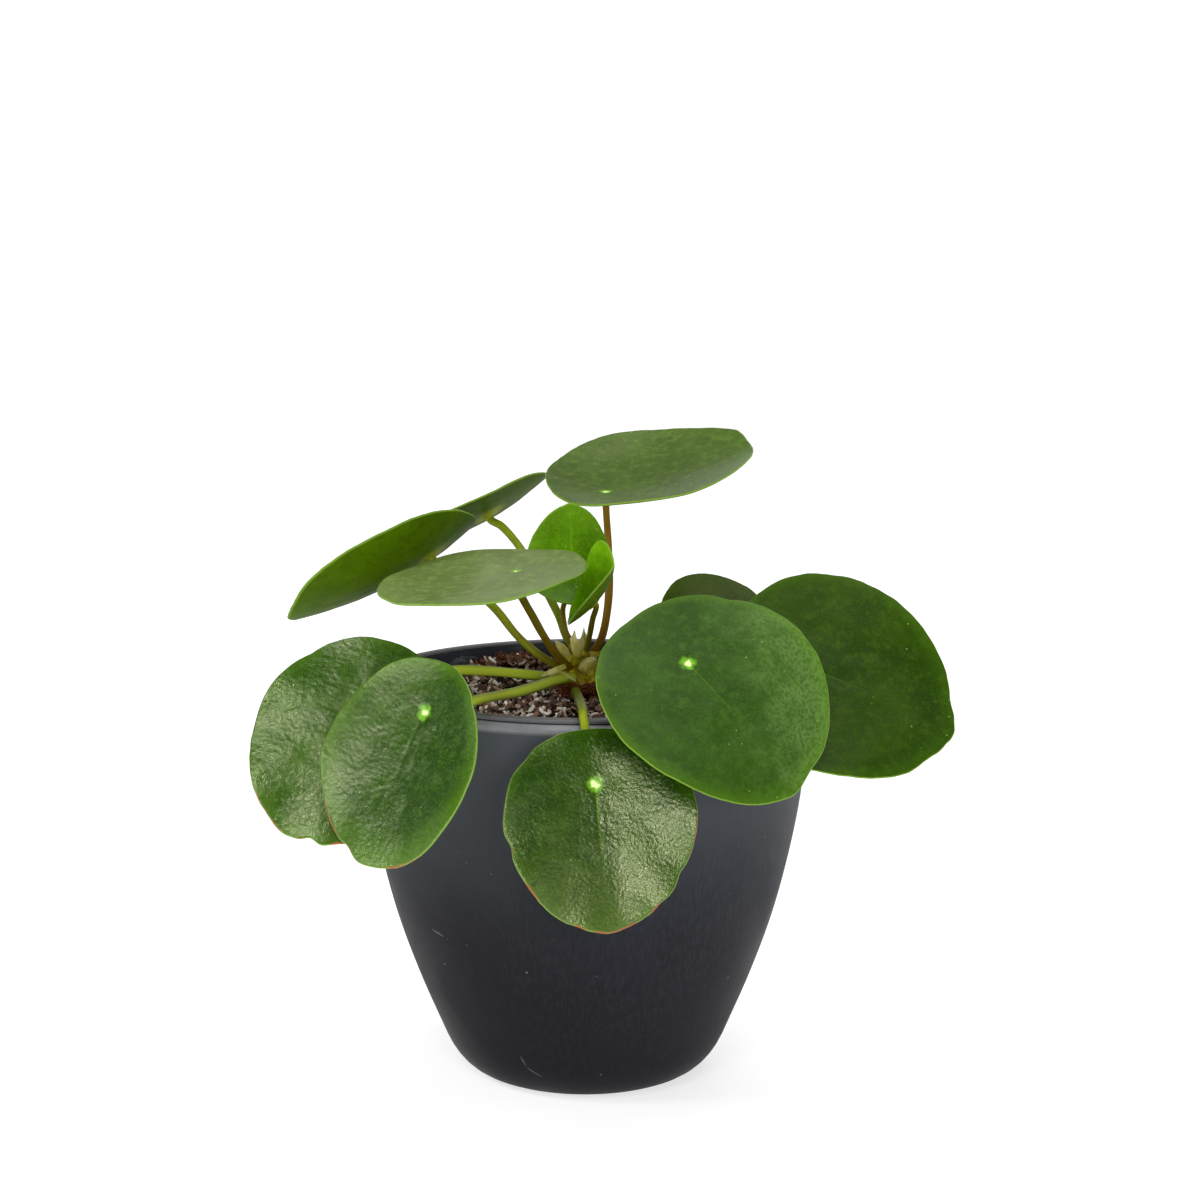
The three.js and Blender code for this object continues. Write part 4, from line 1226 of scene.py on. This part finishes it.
# Lamps: size and place in metres. The stage's settings hold their powers.
LAMPS = {
    "high": ((0.34, 0.32), (-1.3, -0.54, 1.13)),
    "low": ((0.34, 0.32), (-1.57, -0.44, 0.42)),
    "front": ((0.36, 0.36), (0.32, -1.5, 0.42)),
    "fill": ((0.5, 0.4), (-0.2, -1.3, 1.05)),
    "back": ((2.4, 0.45), (0, 1.9, 0.78)),
    "top": ((1.6, 1.6), (0.3, 0.1, 1.9)),
}
LAMP_AIM = (0, 0, 0.12)


def add_floor():
    """A wide pale floor that curves up into a low wall all round."""
    deselect()
    bpy.ops.mesh.primitive_circle_add(vertices=96, radius=FLOOR_RINGS[0][0], fill_type="NGON")
    floor = named("floor")
    bpy.ops.object.mode_set(mode="EDIT")
    bpy.ops.mesh.select_mode(type="EDGE")
    bpy.ops.mesh.select_all(action="DESELECT")
    bpy.ops.mesh.select_non_manifold()
    draw_up(FLOOR_RINGS, bpy.ops.mesh.extrude_edges_move)
    bpy.ops.object.mode_set(mode="OBJECT")
    bpy.ops.object.shade_smooth_by_angle(angle=math.radians(40))
    mix = Finish("floor")
    pale = settings("stage").floor
    mix.base(mix.noise(mix.place(), 3), pale, shade(pale, 1.01))
    reach = mix.add("VectorMath", {0: mix.place()}, "Value", operation="LENGTH")
    mix.put(mix.shader.inputs["Emission Color"], mix.color)
    mix.put(mix.shader.inputs["Emission Strength"], mix.fade(reach, 0.1, 1.6, 1.2, 1.45))
    floor.data.materials.append(mix.done(0.9, Specular_IOR_Level=0.1))
    mix.material.cycles.emission_sampling = "NONE"
    deselect()


def add_light(name):
    """A large soft panel of light that faces the plant."""
    size, place = LAMPS[name]
    deselect()
    bpy.ops.object.light_add(type="AREA", location=place)
    lamp = bpy.context.active_object
    lamp.name = lamp.data.name = name
    lamp.data.shape = "RECTANGLE"
    lamp.data.size, lamp.data.size_y = size
    lamp.data.energy = getattr(settings("stage"), name)
    lamp.rotation_euler = (Vector(LAMP_AIM) - Vector(place)).to_track_quat("-Z", "Y").to_euler()
    lamp.visible_camera = False
    deselect()


def add_camera():
    deselect()
    bpy.ops.object.camera_add(location=CAMERA["place"], rotation=(math.radians(90 - CAMERA["pitch"]), 0, 0))
    camera = bpy.context.active_object
    camera.name = camera.data.name = "camera"
    camera.data.lens = CAMERA["lens"]
    camera.data.sensor_width = CAMERA["sensor"]
    camera.data.shift_x = CAMERA["shift"]
    bpy.context.scene.camera = camera
    deselect()


def light_sky():
    scene = bpy.context.scene
    scene.world = bpy.data.worlds.new("studio")
    scene.world.use_nodes = True
    sky = scene.world.node_tree.nodes["Background"]
    sky.inputs["Color"].default_value = (1, 1, 1, 1)
    sky.inputs["Strength"].default_value = settings("stage").sky
    scene.view_settings.view_transform = "Standard"


# ---- operators ----

class PILEA_OT_pot(bpy.types.Operator):
    """Make the pot, with its lip and its inner wall"""

    bl_idname = "pilea.pot"
    bl_label = "Pot"

    def execute(self, context):
        add_pot()
        return {"FINISHED"}


class PILEA_OT_mix(bpy.types.Operator):
    """Fill the pot with potting mix, bark chips, pale grains and fibre"""

    bl_idname = "pilea.mix"
    bl_label = "Potting mix"

    def execute(self, context):
        add_ground()
        add_bits()
        return {"FINISHED"}


class PILEA_OT_trunk(bpy.types.Operator):
    """Make the short trunk with its knobs"""

    bl_idname = "pilea.trunk"
    bl_label = "Trunk"

    def execute(self, context):
        add_trunk()
        return {"FINISHED"}


class PILEA_OT_scales(bpy.types.Operator):
    """Add the dry papery scales"""

    bl_idname = "pilea.scales"
    bl_label = "Scales"

    def execute(self, context):
        for name in SCALES:
            add_scale(name)
        return {"FINISHED"}


class PILEA_OT_stalks(bpy.types.Operator):
    """Grow the leaf stalks"""

    bl_idname = "pilea.stalks"
    bl_label = "Leaf stalks"

    def execute(self, context):
        for name in LEAVES:
            add_stalk(name)
        return {"FINISHED"}


class PILEA_OT_blades(bpy.types.Operator):
    """Grow the leaf blades"""

    bl_idname = "pilea.blades"
    bl_label = "Leaf blades"

    def execute(self, context):
        for name in LEAVES:
            add_blade(name)
        return {"FINISHED"}


class PILEA_OT_stage(bpy.types.Operator):
    """Set up the floor, the lights and the camera"""

    bl_idname = "pilea.stage"
    bl_label = "Stage"

    def execute(self, context):
        add_floor()
        for name in LAMPS:
            add_light(name)
        light_sky()
        add_camera()
        return {"FINISHED"}


OPERATORS = [PILEA_OT_pot, PILEA_OT_mix, PILEA_OT_trunk, PILEA_OT_scales, PILEA_OT_stalks, PILEA_OT_blades,
             PILEA_OT_stage]


class PILEA_PT_panel(bpy.types.Panel):
    """Makes the plant from the sidebar"""

    bl_idname = "PILEA_PT_panel"
    bl_label = "Potted pilea"
    bl_space_type = "VIEW_3D"
    bl_region_type = "UI"
    bl_category = "Pilea"

    def draw(self, context):
        for operator in OPERATORS:
            self.layout.operator(operator.bl_idname)
        for group in SETTINGS:
            box = self.layout.box()
            for name in settings(group).bl_rna.properties.keys():
                if name not in ("rna_type", "name"):
                    box.prop(settings(group), name)


def register():
    for cls in (*SETTINGS.values(), *OPERATORS, PILEA_PT_panel):
        bpy.utils.register_class(cls)
    for group, cls in SETTINGS.items():
        setattr(bpy.types.Scene, "pilea_" + group, bpy.props.PointerProperty(type=cls))


def unregister():
    for group in SETTINGS:
        delattr(bpy.types.Scene, "pilea_" + group)
    for cls in (PILEA_PT_panel, *reversed(OPERATORS), *SETTINGS.values()):
        bpy.utils.unregister_class(cls)


def main():
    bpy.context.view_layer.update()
    register()
    bpy.ops.pilea.pot()
    bpy.ops.pilea.mix()
    bpy.ops.pilea.trunk()
    bpy.ops.pilea.scales()
    bpy.ops.pilea.stalks()
    bpy.ops.pilea.blades()
    bpy.ops.pilea.stage()


if __name__ == "__main__":
    main()
